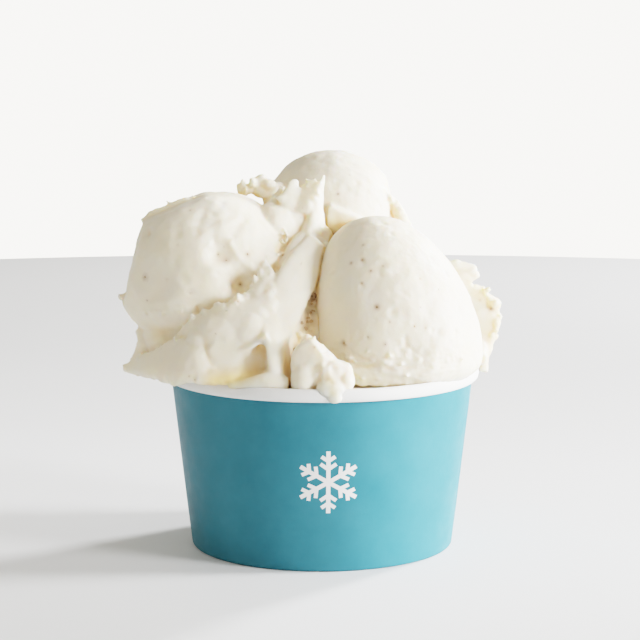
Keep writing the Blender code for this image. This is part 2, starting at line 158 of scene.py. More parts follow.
def ramp(tree, factor, start, end, low_value=0.0, high_value=1.0):
    """Stretch a factor between start and end to low_value and high_value."""
    return add(
        tree,
        "ShaderNodeMapRange",
        {"clamp": True},
        Value=factor,
        From_Min=start,
        From_Max=end,
        To_Min=low_value,
        To_Max=high_value,
    ).outputs["Result"]


def mixed(tree, factor, first, second):
    """Mix two colours, each a triple or an output."""
    node = add(tree, "ShaderNodeMix", {"data_type": "RGBA"})
    for index, value in ((0, factor), (6, first), (7, second)):
        if isinstance(value, bpy.types.NodeSocket):
            tree.links.new(value, node.inputs[index])
        else:
            node.inputs[index].default_value = value if index == 0 else (*value, 1.0)
    return node.outputs[2]


def bump(tree, shader, height, distance, strength):
    """Relief from a height output; distance is in metres."""
    node = add(tree, "ShaderNodeBump", Height=height, Distance=distance, Strength=strength)
    tree.links.new(node.outputs["Normal"], shader.inputs["Normal"])


# %% Table
TABLE_RADIUS = 0.80
TABLE_THICKNESS = 0.02
TABLE_COLOUR = (0.76, 0.765, 0.78)
TABLE_DEEP = (0.745, 0.750, 0.765)
TABLE_PALE = (0.775, 0.780, 0.795)

bm = bmesh.new()
underside = bmesh.ops.create_circle(bm, cap_ends=True, segments=128, radius=TABLE_RADIUS)["verts"]
bmesh.ops.translate(bm, vec=(0, 0, -TABLE_THICKNESS), verts=underside)
grown = bmesh.ops.extrude_face_region(bm, geom=list(bm.faces))["geom"]
top = [item for item in grown if isinstance(item, bmesh.types.BMVert)]
bmesh.ops.translate(bm, vec=(0, 0, TABLE_THICKNESS), verts=top)
bmesh.ops.recalc_face_normals(bm, faces=bm.faces)
table = mesh_object("table", bm, scale=1.0)
table_paint, tree, shader = principled("pale table", TABLE_COLOUR, 0.55)
shade = ramp(tree, object_noise(tree, 4.0), 0.3, 0.7)
tree.links.new(mixed(tree, shade, TABLE_DEEP, TABLE_PALE), shader.inputs["Base Color"])
table.data.materials.append(table_paint)
print("table", TABLE_RADIUS * 2, "m across")

# %% Lights
HEAP_MIDDLE = Vector((0.0, 0.0, 0.06))
LIGHT_DISTANCE = 1.2


def soft_box(name, azimuth, elevation, size, power, spread=180.0):
    """A square light that looks at the middle of the heap. azimuth counts in degrees from +X towards +Y,
    size is in metres, and spread is the angle of its beam."""
    lamp = bpy.data.lights.new(name, "AREA")
    lamp.shape = "SQUARE"
    lamp.size = size
    lamp.energy = power
    lamp.spread = math.radians(spread)
    turn, rise = math.radians(azimuth), math.radians(elevation)
    way = Vector((math.cos(turn) * math.cos(rise), math.sin(turn) * math.cos(rise), math.sin(rise)))
    obj = link(bpy.data.objects.new(name, lamp))
    obj.location = AXIS + HEAP_MIDDLE + way * LIGHT_DISTANCE
    obj.rotation_mode = "QUATERNION"
    obj.rotation_quaternion = way.to_track_quat("Z", "Y")


soft_box("back light", 44, 27, 0.17, 28.0)
soft_box("low window", 2, 11, 0.3, 2.2, 30.0)
soft_box("front reflector", -28, 14, 0.3, 2.6, 60.0)
print("soft boxes", len(bpy.data.lights))

# %% Wall
WALL_COLOUR = (1.0, 0.955, 0.85, 1.0)
WALL_SEEN = 4.6
WALL_LIGHT = 0.59

world = bpy.data.worlds.new("bright wall")
bpy.context.scene.world = world
world.use_nodes = True
tree = world.node_tree
background = tree.nodes["Background"]
background.inputs["Color"].default_value = WALL_COLOUR
seen = add(tree, "ShaderNodeLightPath").outputs["Is Camera Ray"]
tree.links.new(ramp(tree, seen, 0.0, 1.0, WALL_LIGHT, WALL_SEEN), background.inputs["Strength"])
print("wall strength", WALL_SEEN, "where it is seen,", WALL_LIGHT, "as a light")

# %% [markdown]
# The paper cup's wall
#
# One sheet of board makes the wall. It is printed on one side and wrapped to a cone, with its ends glued
# over each other at the back. Its top is rolled outwards, so the white inner face comes to the outside on
# the rim, and its foot is folded inwards round the edge of the floor, so the printed face shows again in
# the recess underneath. It could be a cone with a torus on top, but then the roll would be a closed ring
# and the colours would have to be painted by height. Here a line through the middle of the board is drawn
# once, given its thickness, and spun round the axis, and each face takes the colour of the side it is on.

# %% Sizes of the cup
CUP_HEIGHT = 55.4
FOOT_RADIUS = 40.1
SHOULDER_RADIUS = 46.0
SHOULDER_HEIGHT = 51.5
BOARD = 0.5
RIM_WIDTH = 2.2
FLOOR_BOARD = 0.4
FLOOR_HEIGHT = 6.0
FLANGE_FOOT = 1.6
HEM_HEIGHT = 5.2
CLEARANCE = 0.3
CUP_SIDES = 192
SEAM_ANGLE = math.radians(112)  # at the back, where the sheet's ends overlap
SEAM_OVERLAP = 8.0
SEAM_RAMP = 5.0
SEAM_LIFT = 0.8  # share of the board's thickness by which the overlap stands out
SHARP = math.radians(50)


def wall_radius(height):
    """Outside radius of the cup's wall at a height."""
    return FOOT_RADIUS + (SHOULDER_RADIUS - FOOT_RADIUS) * height / SHOULDER_HEIGHT


def arc(centre, radii, start, end, steps):
    """Points on an ellipse's arc, between two angles in degrees."""
    angles = [math.radians(start + (end - start) * i / steps) for i in range(steps + 1)]
    return [(centre[0] + radii[0] * math.cos(a), centre[1] + radii[1] * math.sin(a)) for a in angles]


def thickened(line, thickness):
    """The right-hand and the left-hand side of a sheet that follows a line of (radius, height) points."""
    right, left = [], []
    for i, (radius, height) in enumerate(line):
        before = Vector(line[max(i - 1, 0)])
        after = Vector(line[min(i + 1, len(line) - 1)])
        along = (after - before).normalized()
        out = Vector((along.y, -along.x)) * thickness / 2
        right.append((radius + out.x, height + out.y))
        left.append((radius - out.x, height - out.y))
    return right, left


def spun(outline, closed, sides=CUP_SIDES):
    """Spin an outline of (radius, height) points round Z; an open one starts and ends on the axis."""
    bm = bmesh.new()
    verts = [bm.verts.new((radius, 0.0, height)) for radius, height in outline]
    pairs = list(zip(verts, verts[1:]))
    if closed:
        pairs.append((verts[-1], verts[0]))
    edges = [bm.edges.new(pair) for pair in pairs]
    turn = {"cent": (0, 0, 0), "axis": (0, 0, 1), "angle": math.tau, "steps": sides, "use_merge": True}
    bmesh.ops.spin(bm, geom=verts + edges, **turn)
    bmesh.ops.remove_doubles(bm, verts=bm.verts, dist=0.001)
    bmesh.ops.recalc_face_normals(bm, faces=bm.faces)
    return bm


# %% Line of the board, from the hem up to the roll
flange = FOOT_RADIUS - BOARD - CLEARANCE - FLOOR_BOARD / 2
wall = FOOT_RADIUS - BOARD / 2
hem = flange - FLOOR_BOARD / 2 - CLEARANCE - BOARD / 2
fold_radius = (wall - hem) / 2
foot_fold = arc(((wall + hem) / 2, fold_radius + BOARD / 2), (fold_radius, fold_radius), 180, 360, 10)
roll = ((RIM_WIDTH - BOARD) / 2, (CUP_HEIGHT - SHOULDER_HEIGHT - BOARD) / 2)
roll_height = CUP_HEIGHT - BOARD / 2 - roll[1]
roll_centre = (wall_radius(roll_height) - BOARD / 2 + roll[0], roll_height)
rim_roll = arc(roll_centre, roll, 180, -135, 26)
rise = [(wall_radius(z) - BOARD / 2, z) for z in (12.0, 24.0, 36.0, 46.0)]
board_line = [(hem, HEM_HEIGHT), *foot_fold, *rise, *rim_roll]
printed_side, white_side = thickened(board_line, BOARD)
print("board line", len(board_line), "points")

# %% Helpers for the seam and the two sides


def seam_rise(angle, radius):
    """How far the outer end of the sheet lifts the surface: a sharp step, a flat lap and a ramp down."""
    along = ((angle - SEAM_ANGLE) % math.tau) * radius
    if along < SEAM_OVERLAP:
        return BOARD * SEAM_LIFT
    return BOARD * SEAM_LIFT * max(0.0, 1.0 - (along - SEAM_OVERLAP) / SEAM_RAMP)


def distance_to(line, point):
    """Distance from a (radius, height) point to a line."""
    best = math.inf
    for start, end in zip(line, line[1:]):
        start, end = Vector(start), Vector(end)
        run = end - start
        share = max(0.0, min(1.0, (point - start).dot(run) / max(run.length_squared, 1e-9)))
        best = min(best, (point - start - run * share).length)
    return best


# %% Spin the wall and raise the seam
STEP_WIDTH = 0.05  # of the sharp step where the overlap starts
ON_SIDE = 0.01
CLEAR_OF_HEM = 0.5

bm = spun(printed_side + white_side[::-1], closed=True)
side_step = math.tau / CUP_SIDES
for vert in bm.verts:
    radius = math.hypot(vert.co.x, vert.co.y)
    angle = math.atan2(vert.co.y, vert.co.x)
    before_seam = (SEAM_ANGLE - angle) % math.tau
    if 0.0 < before_seam <= side_step:
        angle = SEAM_ANGLE - STEP_WIDTH / radius
    outside = distance_to(printed_side, Vector((radius, vert.co.z))) < ON_SIDE
    on_roll = vert.co.z > SHOULDER_HEIGHT and radius > roll_centre[0]
    if (outside or on_roll) and radius > flange + CLEAR_OF_HEM:
        radius += seam_rise(angle, radius)
    vert.co.x = radius * math.cos(angle)
    vert.co.y = radius * math.sin(angle)

# %% Give each side its colour
ROLL_START = SHOULDER_HEIGHT + 0.2  # the roll is white from here up

for face in bm.faces:
    centre = face.calc_center_median()
    angle = math.atan2(centre.y, centre.x)
    spot = Vector((math.hypot(centre.x, centre.y) - seam_rise(angle, FOOT_RADIUS), centre.z))
    white = distance_to(white_side, spot) < distance_to(printed_side, spot)
    face.material_index = 1 if white or centre.z > ROLL_START else 0
cup_wall = mesh_object("cup_wall_board", bm)
cup_wall.data.shade_smooth()
cup_wall.data.set_sharp_from_angle(angle=SHARP)
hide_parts("cup_wall")
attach(cup_wall, "root")
print("cup wall", len(cup_wall.data.polygons), "faces")

# %% [markdown]
# Printed and white board
#
# The print is a flat teal ink on coated board. It isn't quite even: handling and cold moisture leave faint,
# cloudy smudges, and the board's own fibres give the gloss a fine unrest. A single colour would look like
# plastic, so two noises of different size move the colour a little, a third moves the gloss, and the finest
# gives a relief of a few hundredths of a millimetre. The white board is the same without the ink.

# %% Board materials
TEAL = (0.033, 0.158, 0.214)
TEAL_PALE = (0.043, 0.178, 0.238)
TEAL_DEEP = (0.026, 0.141, 0.194)
WHITE_BOARD = (0.88, 0.875, 0.86)
WHITE_PALE = (0.90, 0.895, 0.88)
WHITE_DEEP = (0.86, 0.855, 0.84)
CLOUD_WAVES = 55.0  # in a metre, as for the next three
SMEAR_WAVES = 240.0
SHEEN_WAVES = 160.0
FIBRE_WAVES = 1400.0
FIBRE_RELIEF = 0.06 * MM
SMEAR_SHARE = 0.35


def board_material(name, colour, deep, pale, roughness):
    """Coated board: cloudy colour, uneven gloss and a fine fibre relief."""
    material, tree, shader = principled(name, colour, roughness, Specular_IOR_Level=0.12)
    cloud = ramp(tree, object_noise(tree, CLOUD_WAVES, 4.0, 0.62), 0.30, 0.72)
    smear = ramp(tree, object_noise(tree, SMEAR_WAVES, 5.0, 0.7), 0.35, 0.75, 0.0, SMEAR_SHARE)
    colours = mixed(tree, smear, mixed(tree, cloud, deep, pale), colour)
    tree.links.new(colours, shader.inputs["Base Color"])
    unrest = object_noise(tree, SHEEN_WAVES, 3.0, 0.6)
    gloss = ramp(tree, unrest, 0.3, 0.7, roughness - 0.05, roughness + 0.07)
    tree.links.new(gloss, shader.inputs["Roughness"])
    bump(tree, shader, object_noise(tree, FIBRE_WAVES, 3.0, 0.7), FIBRE_RELIEF, 0.5)
    return material


printed = board_material("printed teal board", TEAL, TEAL_DEEP, TEAL_PALE, 0.46)
white_board = board_material("white board", WHITE_BOARD, WHITE_DEEP, WHITE_PALE, 0.40)
cup_wall.data.materials.append(printed)
cup_wall.data.materials.append(white_board)
print("board materials:", printed.name, "and", white_board.name)

# %% [markdown]
# The cup's floor
#
# The floor is a disc of plain board whose edge is turned down and pinched between the wall and its hem. It
# shows from below, at the end of the foot's recess. It is spun from its own outline, with a shallow ring
# pressed into it, as the die that bends the edge leaves one.

# %% Spin the floor
EMBOSS_RADIUS = 33.0
EMBOSS_WIDTH = 1.6
EMBOSS_DEPTH = 0.25


def floor_height(radius, height):
    """The floor's height with its pressed ring."""
    return height + EMBOSS_DEPTH * math.exp(-(((radius - EMBOSS_RADIUS) / EMBOSS_WIDTH) ** 2))


half = FLOOR_BOARD / 2
across = [0.0, 10.0, 20.0, 28.0, 30.5, 31.5, 32.3, 33.0, 33.7, 34.5, 35.5, 37.0]
upper = [(r, floor_height(r, FLOOR_HEIGHT + half)) for r in across]
lower = [(r, floor_height(r, FLOOR_HEIGHT - half)) for r in across]
corner = arc((flange - half, FLOOR_HEIGHT - half), (2 * half, 2 * half), 90, 0, 5)
inner_corner = [(flange - half, FLOOR_HEIGHT - 3 * half), (flange - 2 * half, FLOOR_HEIGHT - half)]
turned_down = [(flange + half, FLANGE_FOOT), (flange - half, FLANGE_FOOT)]
bm = spun([*upper, *corner, *turned_down, *inner_corner, *lower[::-1]], closed=False)
cup_floor = mesh_object("cup_floor_disc", bm)
cup_floor.data.shade_smooth()
cup_floor.data.set_sharp_from_angle(angle=SHARP)
cup_floor.data.materials.append(white_board)
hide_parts("cup_floor")
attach(cup_floor, "root")
print("cup floor", len(cup_floor.data.polygons), "faces")

# %% [markdown]
# A printed ornament
#
# Such a cup often carries a small white print on its front. Here it is a plain snowflake: six arms with two
# pairs of twigs. One helper draws a flat bar, for each arm and each twig. The bars lie in a flat sheet
# first; that sheet is then given its thickness and wrapped onto the cone, a few hundredths of a millimetre
# proud of the board, as ink from a screen is. Painting it in the material would also do, but a mesh keeps
# its edges crisp from close by.

# %% Draw the snowflake
SNOW_HEIGHT = 27.5
SNOW_ANGLE = math.radians(-90 + 2.4)
SNOW_ARM = 9.4
SNOW_LINE = 1.25
TWIG_LINE = 0.9 * SNOW_LINE
TWIG_TURN = math.radians(55)
TWIGS = ((0.42, 0.30), (0.68, 0.26))  # place on an arm and length, as shares of the arm
INK = 0.05
SUNK = 0.01  # how deep the ink sits in the board, so that no gap shows


def bar(bm, start, end, width):
    """A flat bar with square ends between two points, cut across often enough to follow the cone."""
    start, end = Vector(start), Vector(end)
    run = end - start
    grid = bmesh.ops.create_grid(bm, x_segments=8, y_segments=2, size=0.5)["verts"]
    bmesh.ops.scale(bm, vec=(run.length, width, 1.0), verts=grid)
    bmesh.ops.rotate(bm, matrix=Matrix.Rotation(math.atan2(run.y, run.x), 3, "Z"), verts=grid)
    bmesh.ops.translate(bm, vec=((start + end) / 2).to_3d(), verts=grid)


def polar(radius, angle):
    """A flat point at a distance and an angle from the middle."""
    return Vector((radius * math.cos(angle), radius * math.sin(angle)))


bm = bmesh.new()
for arm in range(6):
    way = math.radians(90 + 60 * arm)
    bar(bm, (0, 0), polar(SNOW_ARM, way), SNOW_LINE)
    for share, twig in TWIGS:
        root = polar(SNOW_ARM * share, way)
        for side in (-1, 1):
            bar(bm, root, root + polar(SNOW_ARM * twig, way + side * TWIG_TURN), TWIG_LINE)
bmesh.ops.solidify(bm, geom=list(bm.faces), thickness=INK)
bmesh.ops.recalc_face_normals(bm, faces=bm.faces)

# %% Wrap the snowflake onto the cone
lowest = min(vert.co.z for vert in bm.verts)
slope = math.atan2(SHOULDER_RADIUS - FOOT_RADIUS, SHOULDER_HEIGHT)
for vert in bm.verts:
    height = SNOW_HEIGHT + vert.co.y * math.cos(slope)
    surface = wall_radius(height)
    angle = SNOW_ANGLE + vert.co.x / surface
    radius = surface + vert.co.z - lowest - SUNK
    vert.co = Vector((radius * math.cos(angle), radius * math.sin(angle), height))
snowflake = mesh_object("snowflake_print", bm)
ink, _, _ = principled("white ink", (0.90, 0.89, 0.88), 0.5)
snowflake.data.materials.append(ink)
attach(snowflake, "root")
print("snowflake", len(snowflake.data.polygons), "faces")

# %% [markdown]
# Shaping gelato: domes and folds
#
# Gelato is lifted with a flat spade. The spade presses a ball, drags over its face, and leaves a torn lip
# where it pulls away. So there are two strokes to build from. A dome is a round ball with flats where the
# spade pressed and dents where it sank in. A fold is a lip along a curve: rings that change their width
# and thickness from place to place, bridged to each other. Both come from bmesh operators, and the same
# rows of numbers that shape the solids are used again here, only with finer rings.

# %% Dome
PRESSED_IN = 0.85  # share of a ball beyond a flat that is pressed in
LEAN_GROWTH = 1.5  # how much more a ball leans towards its top
DOME_DETAIL = 5


def stroke_mesh(bm):
    """One stroke of gelato, in millimetres, to be fused later."""
    mesh = bpy.data.meshes.new("stroke")
    bm.to_mesh(mesh)
    bm.free()
    return mesh


def dome(centre, radii, under=None, lean=0.0, flats=(), dents=(), detail=DOME_DETAIL):
    """A scooped ball. under is its radius below the centre, and lean shifts its top along X. A flat is
    (direction, distance) and presses in what lies beyond; a dent is (direction, depth, width), in shares
    of the ball's size."""
    bm = bmesh.new()
    bmesh.ops.create_icosphere(bm, subdivisions=detail, radius=1.0)
    for vert in bm.verts:
        way = vert.co.normalized()
        size = 1.0
        for direction, depth, width in dents:
            size -= depth * math.exp(-((way.angle(Vector(direction)) / width) ** 2))
        tall = under if under and way.z < 0 else radii[2]
        place = Vector((way.x * radii[0], way.y * radii[1], way.z * tall)) * size
        place.x += lean * max(way.z, 0.0) ** LEAN_GROWTH
        for direction, distance in flats:
            normal = Vector(direction).normalized()
            over = place.dot(normal) - distance
            if over > 0:
                place -= normal * over * PRESSED_IN
        vert.co = place + Vector(centre)
    return stroke_mesh(bm)


# %% Smooth curve


def spline(values, share):
    """A point at a share of the way along a smooth curve through the values."""
    at = share * (len(values) - 1)
    i = min(int(at), len(values) - 2)
    t = at - i
    a, b, c, d = (Vector(values[min(max(k, 0), len(values) - 1)]) for k in (i - 1, i, i + 1, i + 2))
    square = 2 * a - 5 * b + 4 * c - d
    cube = 3 * b - a - 3 * c + d
    return 0.5 * (2 * b + (c - a) * t + square * t**2 + cube * t**3)


# %% Fold
TEARING = 1.6
TEAR_LENGTH = 3.4  # millimetres
AIM = 0.02  # share of the curve before and after a ring that gives its direction
ROUNDNESS = 0.75  # 1 for an oval ring, less for a boxier one
THINNEST = 0.4


def fold(stations, face, keen=0.0, ragged=0.0, sides=24, spacing=0.8):
    """A lip of gelato along a curve. A station is (x, y, z, half width, half thickness), and face is the
    way its broad side looks. keen thins one long edge, the other one where it is negative, and ragged is
    how unevenly its long edges are torn, as a share of the width."""
    places = [station[:3] for station in stations]
    sizes = [station[3:] + (0.0,) for station in stations]
    length = sum((Vector(b) - Vector(a)).length for a, b in zip(places, places[1:]))
    steps = max(int(length / spacing), 4)
    bm = bmesh.new()
    rings = []
    for i in range(steps + 1):
        share = i / steps
        where = spline(places, share)
        along = (spline(places, min(share + AIM, 1.0)) - spline(places, max(share - AIM, 0.0))).normalized()
        across = along.cross(Vector(face)).normalized()
        normal = across.cross(along).normalized()
        half_width, half_thickness, _ = spline(sizes, share)
        turn = Matrix((across, normal, along)).transposed().to_4x4()
        turn.translation = where
        tear = {}
        for side in (-1, 1):
            waver = noise.noise(where / TEAR_LENGTH + side * where.zxy)
            tear[side] = 1 + ragged * TEARING * waver
        ring = bmesh.ops.create_circle(bm, cap_ends=i in (0, steps), segments=sides, radius=1.0)["verts"]
        for vert in ring:
            vert.co.x *= tear[1 if vert.co.x > 0 else -1]
            thin = 1 - abs(keen) * (1 + math.copysign(vert.co.x, keen * vert.co.x)) / 2
            flatter = math.copysign(abs(vert.co.y) ** ROUNDNESS, vert.co.y)
            vert.co.x *= max(half_width, THINNEST)
            vert.co.y = flatter * max(half_thickness * thin, THINNEST)
            vert.co = turn @ vert.co
        rings.append(ring)
    for ring, following in zip(rings, rings[1:]):
        chosen = set(ring) | set(following)
        edges = {edge for vert in chosen for edge in vert.link_edges if edge.other_vert(vert) in chosen}
        bmesh.ops.bridge_loops(bm, edges=[edge for edge in edges if len(edge.link_faces) < 2])
    bmesh.ops.recalc_face_normals(bm, faces=bm.faces)
    return stroke_mesh(bm)


def folds(rows):
    """A fold for each row of stations, face, keen and ragged."""
    return [fold(*row) for row in rows]


def fold_edge(stations, face, side, reach):
    """Points along one long edge of a fold, side 1 or -1, at a share of its half width."""
    points = []
    for i, station in enumerate(stations):
        after = Vector(stations[min(i + 1, len(stations) - 1)][:3])
        before = Vector(stations[max(i - 1, 0)][:3])
        across = (after - before).cross(Vector(face)).normalized()
        points.append(Vector(station[:3]) + across * station[3] * reach * side)
    return points


# %% [markdown]
# Crumbs on torn edges
#
# Where cold gelato tears, its edge breaks into small grains that cling to it. They are tiny domes strewn
# along a path, all different, half sunk into the edge. They are fused with the rest, so they soften into
# it and never look like beads. The random draws are seeded, so the heap is the same each time.

# %% Crumbs along a path
MOSTLY_SMALL = 2.2  # the higher, the fewer large ones
CRUMB_STRETCH = (0.55, 1.6)
CRUMB_LEAN = (-0.5, 0.5)

draw = random.Random(11)


def crumbs(path, count, sizes, spread):
    """Small uneven grains strewn along a path, most of them small; sizes are the smallest and largest."""
    made = []
    for _ in range(count):
        middle = spline(path, draw.random())
        middle += Vector([draw.gauss(0.0, spread) for _ in range(3)])
        size = sizes[0] + (sizes[1] - sizes[0]) * draw.random() ** MOSTLY_SMALL
        stretch = [size * draw.uniform(*CRUMB_STRETCH) for _ in range(3)]
        lean = draw.uniform(*CRUMB_LEAN) * size
        made.append(dome(middle, stretch, lean=lean, detail=2))
    return made


# %% [markdown]
# From strokes to one skin
#
# The strokes of a scoop overlap. A Boolean union would keep every crossing as a hard line, while real
# gelato flows together, so they are melted with a voxel remesh, which also closes every small gap. A few
# rounds of smoothing take the steps of the voxels away. The voxel is 0.42 mm, just fine enough for the
# crumbs, and where that gives a scoop more than 190,000 triangles, they are thinned out, the flattest
# first.

# %% Melt strokes together
VOXEL = 0.42
SOFTEN_STEPS = 5
MOST_TRIANGLES = 190_000  # of a scoop


def evaluated(obj):
    """Apply an object's modifiers."""
    graph = bpy.context.evaluated_depsgraph_get()
    mesh = bpy.data.meshes.new_from_object(obj.evaluated_get(graph))
    obj.modifiers.clear()
    obj.data = mesh


def fused(name, strokes, steps=SOFTEN_STEPS):
    """Melt strokes into one skin and soften it; the object stays in millimetres."""
    bm = bmesh.new()
    for stroke in strokes:
        bm.from_mesh(stroke)
        bpy.data.meshes.remove(stroke)
    mesh = bpy.data.meshes.new(name)
    bm.to_mesh(mesh)
    bm.free()
    obj = link(bpy.data.objects.new(name, mesh))
    remesh = obj.modifiers.new("melt together", "REMESH")
    remesh.mode = "VOXEL"
    remesh.voxel_size = VOXEL
    smooth = obj.modifiers.new("soften", "SMOOTH")
    smooth.factor = 0.5
    smooth.iterations = steps
    evaluated(obj)
    triangles = 2 * len(obj.data.polygons)
    if triangles > MOST_TRIANGLES:
        thin = obj.modifiers.new("thin out", "DECIMATE")
        thin.ratio = MOST_TRIANGLES / triangles
        evaluated(obj)
    return obj


def scoop(name, strokes, torn_edges, steps=SOFTEN_STEPS):
    """Strew crumbs along the torn edges and fuse them with the strokes. A torn edge is (path, how many,
    smallest and largest size, spread)."""
    for row in torn_edges:
        strokes = strokes + crumbs(*row)
    obj = fused(name, strokes, steps)
    print(name, len(obj.data.vertices), "points")
    return obj


# %% [markdown]
# Relief
#
# A scooped surface is never even. Broad swells come from the spade, shallow dimples and drag marks from
# its edge, small pits from air, and a rough grain from tearing. A displacement texture would treat all of
# it alike, so each vertex is moved along its normal by a sum that is written out here: noises of several
# sizes, plus marks that are pressed along short paths, and roughness that only grows near torn places.

# %% Points, waves and distances


def to_arrays(obj):
    """The points and normals of a mesh."""
    count = len(obj.data.vertices)
    points = np.empty(count * 3)
    obj.data.vertices.foreach_get("co", points)
    normals = np.empty(count * 3, np.float32)
    obj.data.vertex_normals.foreach_get("vector", normals)
    return points.reshape(-1, 3), normals.reshape(-1, 3).astype(float)


def put_back(obj, points):
    """Move the vertices to their new points."""
    obj.data.vertices.foreach_set("co", points.ravel())
    obj.data.update()


def waves(points, length, seed=0.0):
    """Smooth noise with waves of a length in millimetres."""
    shift = Vector((seed, -seed, seed * 0.5))
    return np.array([noise.noise(Vector(point) / length + shift) for point in points])


def nearness(points, path, width):
    """1 on a path of points, falling off to 0 within about twice the width."""
    best = np.full(len(points), np.inf)
    for start, end in zip(path, path[1:] if len(path) > 1 else path):
        start, end = np.array(start, float), np.array(end, float)
        run = end - start
        share = np.clip((points - start) @ run / max(run @ run, 1e-9), 0, 1)
        best = np.minimum(best, np.linalg.norm(points - start - share[:, None] * run, axis=1))
    return np.exp(-((best / width) ** 2))


# %% Relief from noise and marks
RUFFLE = 0.28
RUFFLE_LENGTH = 7.0
SWELL_LENGTH = 2.6
FINE = 0.06
FINE_LENGTH = 1.2
SHREDS = (0.6, 0.6, 1.3)  # torn grain is drawn out sideways
SHRED_LENGTH = 1.7
SHRED_FINE = 0.9
SMEAR_DEPTHS = (-0.14, 0.30)
SMEAR_WIDTHS = (0.5, 1.0)
PIT_SIZES = (0.5, 1.3)
PIT_DEPTH = 0.34  # share of its size


def relieve(obj, marks=(), torn=(), swell=0.12, pits=60, smears=0, seed=1.0):
    """Move a skin along its normals. A mark is (path, width, depth), and a torn place is (path, width,
    roughness). pits and smears count small hollows and short drag marks at random places."""
    points, normals = to_arrays(obj)
    height = RUFFLE * (waves(points, RUFFLE_LENGTH) + 0.5 * waves(points, RUFFLE_LENGTH / 2.3))
    height += swell * waves(points, SWELL_LENGTH, seed) + FINE * waves(points, FINE_LENGTH, seed + 3.0)
    rough = np.zeros(len(points))
    for path, width, roughness in torn:
        rough = np.maximum(rough, roughness * nearness(points, path, width))
    drawn = points * np.array(SHREDS)
    height += rough * (waves(drawn, SHRED_LENGTH, seed + 7.0) + 0.6 * waves(drawn, SHRED_FINE, seed + 9.0))
    for path, width, depth in marks:
        height -= depth * nearness(points, path, width)
    picker = random.Random(int(seed * 10))
    for _ in range(smears):
        start = points[picker.randrange(len(points))]
        run = np.array([picker.uniform(-3.0, 3.0), 0.0, picker.uniform(-1.5, 3.0)])
        depth = picker.uniform(*SMEAR_DEPTHS)
        height -= depth * nearness(points, [start, start + run], picker.uniform(*SMEAR_WIDTHS))
    for _ in range(pits):
        middle = points[picker.randrange(len(points))]
        size = picker.uniform(*PIT_SIZES)
        near = np.linalg.norm(points - middle, axis=1)
        height -= size * PIT_DEPTH * np.exp(-((near / size) ** 2))
    points += normals * height[:, None]
    put_back(obj, points)


# %% [markdown]
# The left scoop
#
# The largest scoop leans out over the rim on the left. Its face was pressed flat in a few strokes, and the
# last one sank in and left an oval hollow. A long lip rises between the scoops and ends in a blade, with
# small petals of torn gelato behind it. In front, a flap with a crumbly edge curls up under the hollow, and
# below it a broad lobe spills over the rim. The parts that can't be seen in the photograph, at the back,
# are made of the same strokes.

# %% Left scoop: ball and necks
LEFT_BALL = dome(
    (-34, -3, 81),
    (28.5, 26, 28),
    under=21,
    flats=[
        ((-0.972, -0.05, 0.235), 23.6),
        ((-0.372, -0.05, 0.928), 25.2),
        ((0, 0, 1), 26.8),
        ((-0.817, 0, -0.576), 25),
        ((-0.5, -0.85, 0.1), 25.6),
    ],
    dents=[((0.36, -0.92, 0.10), 0.22, 0.16), ((0.16, -0.89, 0.42), 0.07, 0.13)],
)
LEFT_NECKS = [
    dome((-29, 3, 63), (21, 22, 17)),
    dome((-41.5, -6, 66), (13.5, 14, 11)),
    dome((-26.5, -26, 61.5), (8, 11, 10)),
    dome((-34.5, -21, 61), (6.5, 9.5, 9)),
    dome((-18, -25, 62), (7, 8, 10)),
    dome((-14.5, -5.5, 97), (9, 8, 8)),
    dome((-27, 22, 66), (19, 13, 16), flats=[((-0.4, 0.9, 0.1), 11)]),
    dome((-10, -5, 99.5), (6.5, 5.5, 4.5)),
]

# %% Left scoop: ridge, blade, flap and lobe
RIDGE = [(1.4, -5, 97, 2.8, 2), (-1.4, -9, 94, 5.4, 2.8), (-5, -14, 89.5, 6.6, 3.4)]
RIDGE += [(-8.2, -20, 82.5, 6.8, 3.6), (-10.6, -25, 76.2, 7.4, 4), (-12.6, -30, 69.5, 6, 4)]
RIDGE += [(-12.8, -35, 63, 3.6, 4.2), (-12.6, -39, 57, 3, 3.6), (-12.6, -41, 54, 2.4, 2.8)]
RIDGE_FACE = [(-1.6, -12.8, 94, 3.6, 1.8), (-5, -18.8, 88, 5.6, 2.2), (-8.9, -25.2, 81.4, 6.2, 2.4)]
RIDGE_FACE += [(-12.4, -30.8, 74.8, 6.2, 2.4), (-14, -36, 68, 4.6, 2.4)]
RIDGE_FACE += [(-13.6, -39.8, 61.6, 3, 2.2), (-12.8, -41.6, 56.6, 2.6, 2)]
BLADE = [(0.6, -3.5, 113.6, 0.6, 0.5), (-0.6, -4.5, 109, 1.5, 1.1), (-1.6, -6, 103, 2.6, 1.8)]
BLADE += [(-2.4, -9, 96, 4.2, 3), (-5, -12, 89, 4, 3.4)]
FLAP = [(-42.6, -24, 66.6, 1.6, 1.4), (-36.5, -29.5, 70.4, 4, 2.4), (-29.5, -33, 73, 5.2, 2.8)]
FLAP += [(-23, -33.5, 74.6, 6, 3.2), (-18.6, -31.5, 77.8, 5.4, 3.2), (-17.2, -27.5, 82.5, 3.6, 2.6)]
FLAP += [(-15.8, -23, 87.5, 2, 1.8)]
LOBE = [(-60, -7, 54.8, 0.7, 0.7), (-55.5, -13, 56.6, 2.8, 2), (-49.5, -22, 58.8, 4.8, 2.6)]
LOBE += [(-43.5, -29.5, 61, 6.8, 3), (-38, -34.5, 60.8, 6.4, 3.2), (-33, -37, 58, 3.2, 2.8)]
LOBE += [(-25.5, -38, 57.6, 2.4, 2.4), (-19, -38.8, 57, 1.8, 2)]

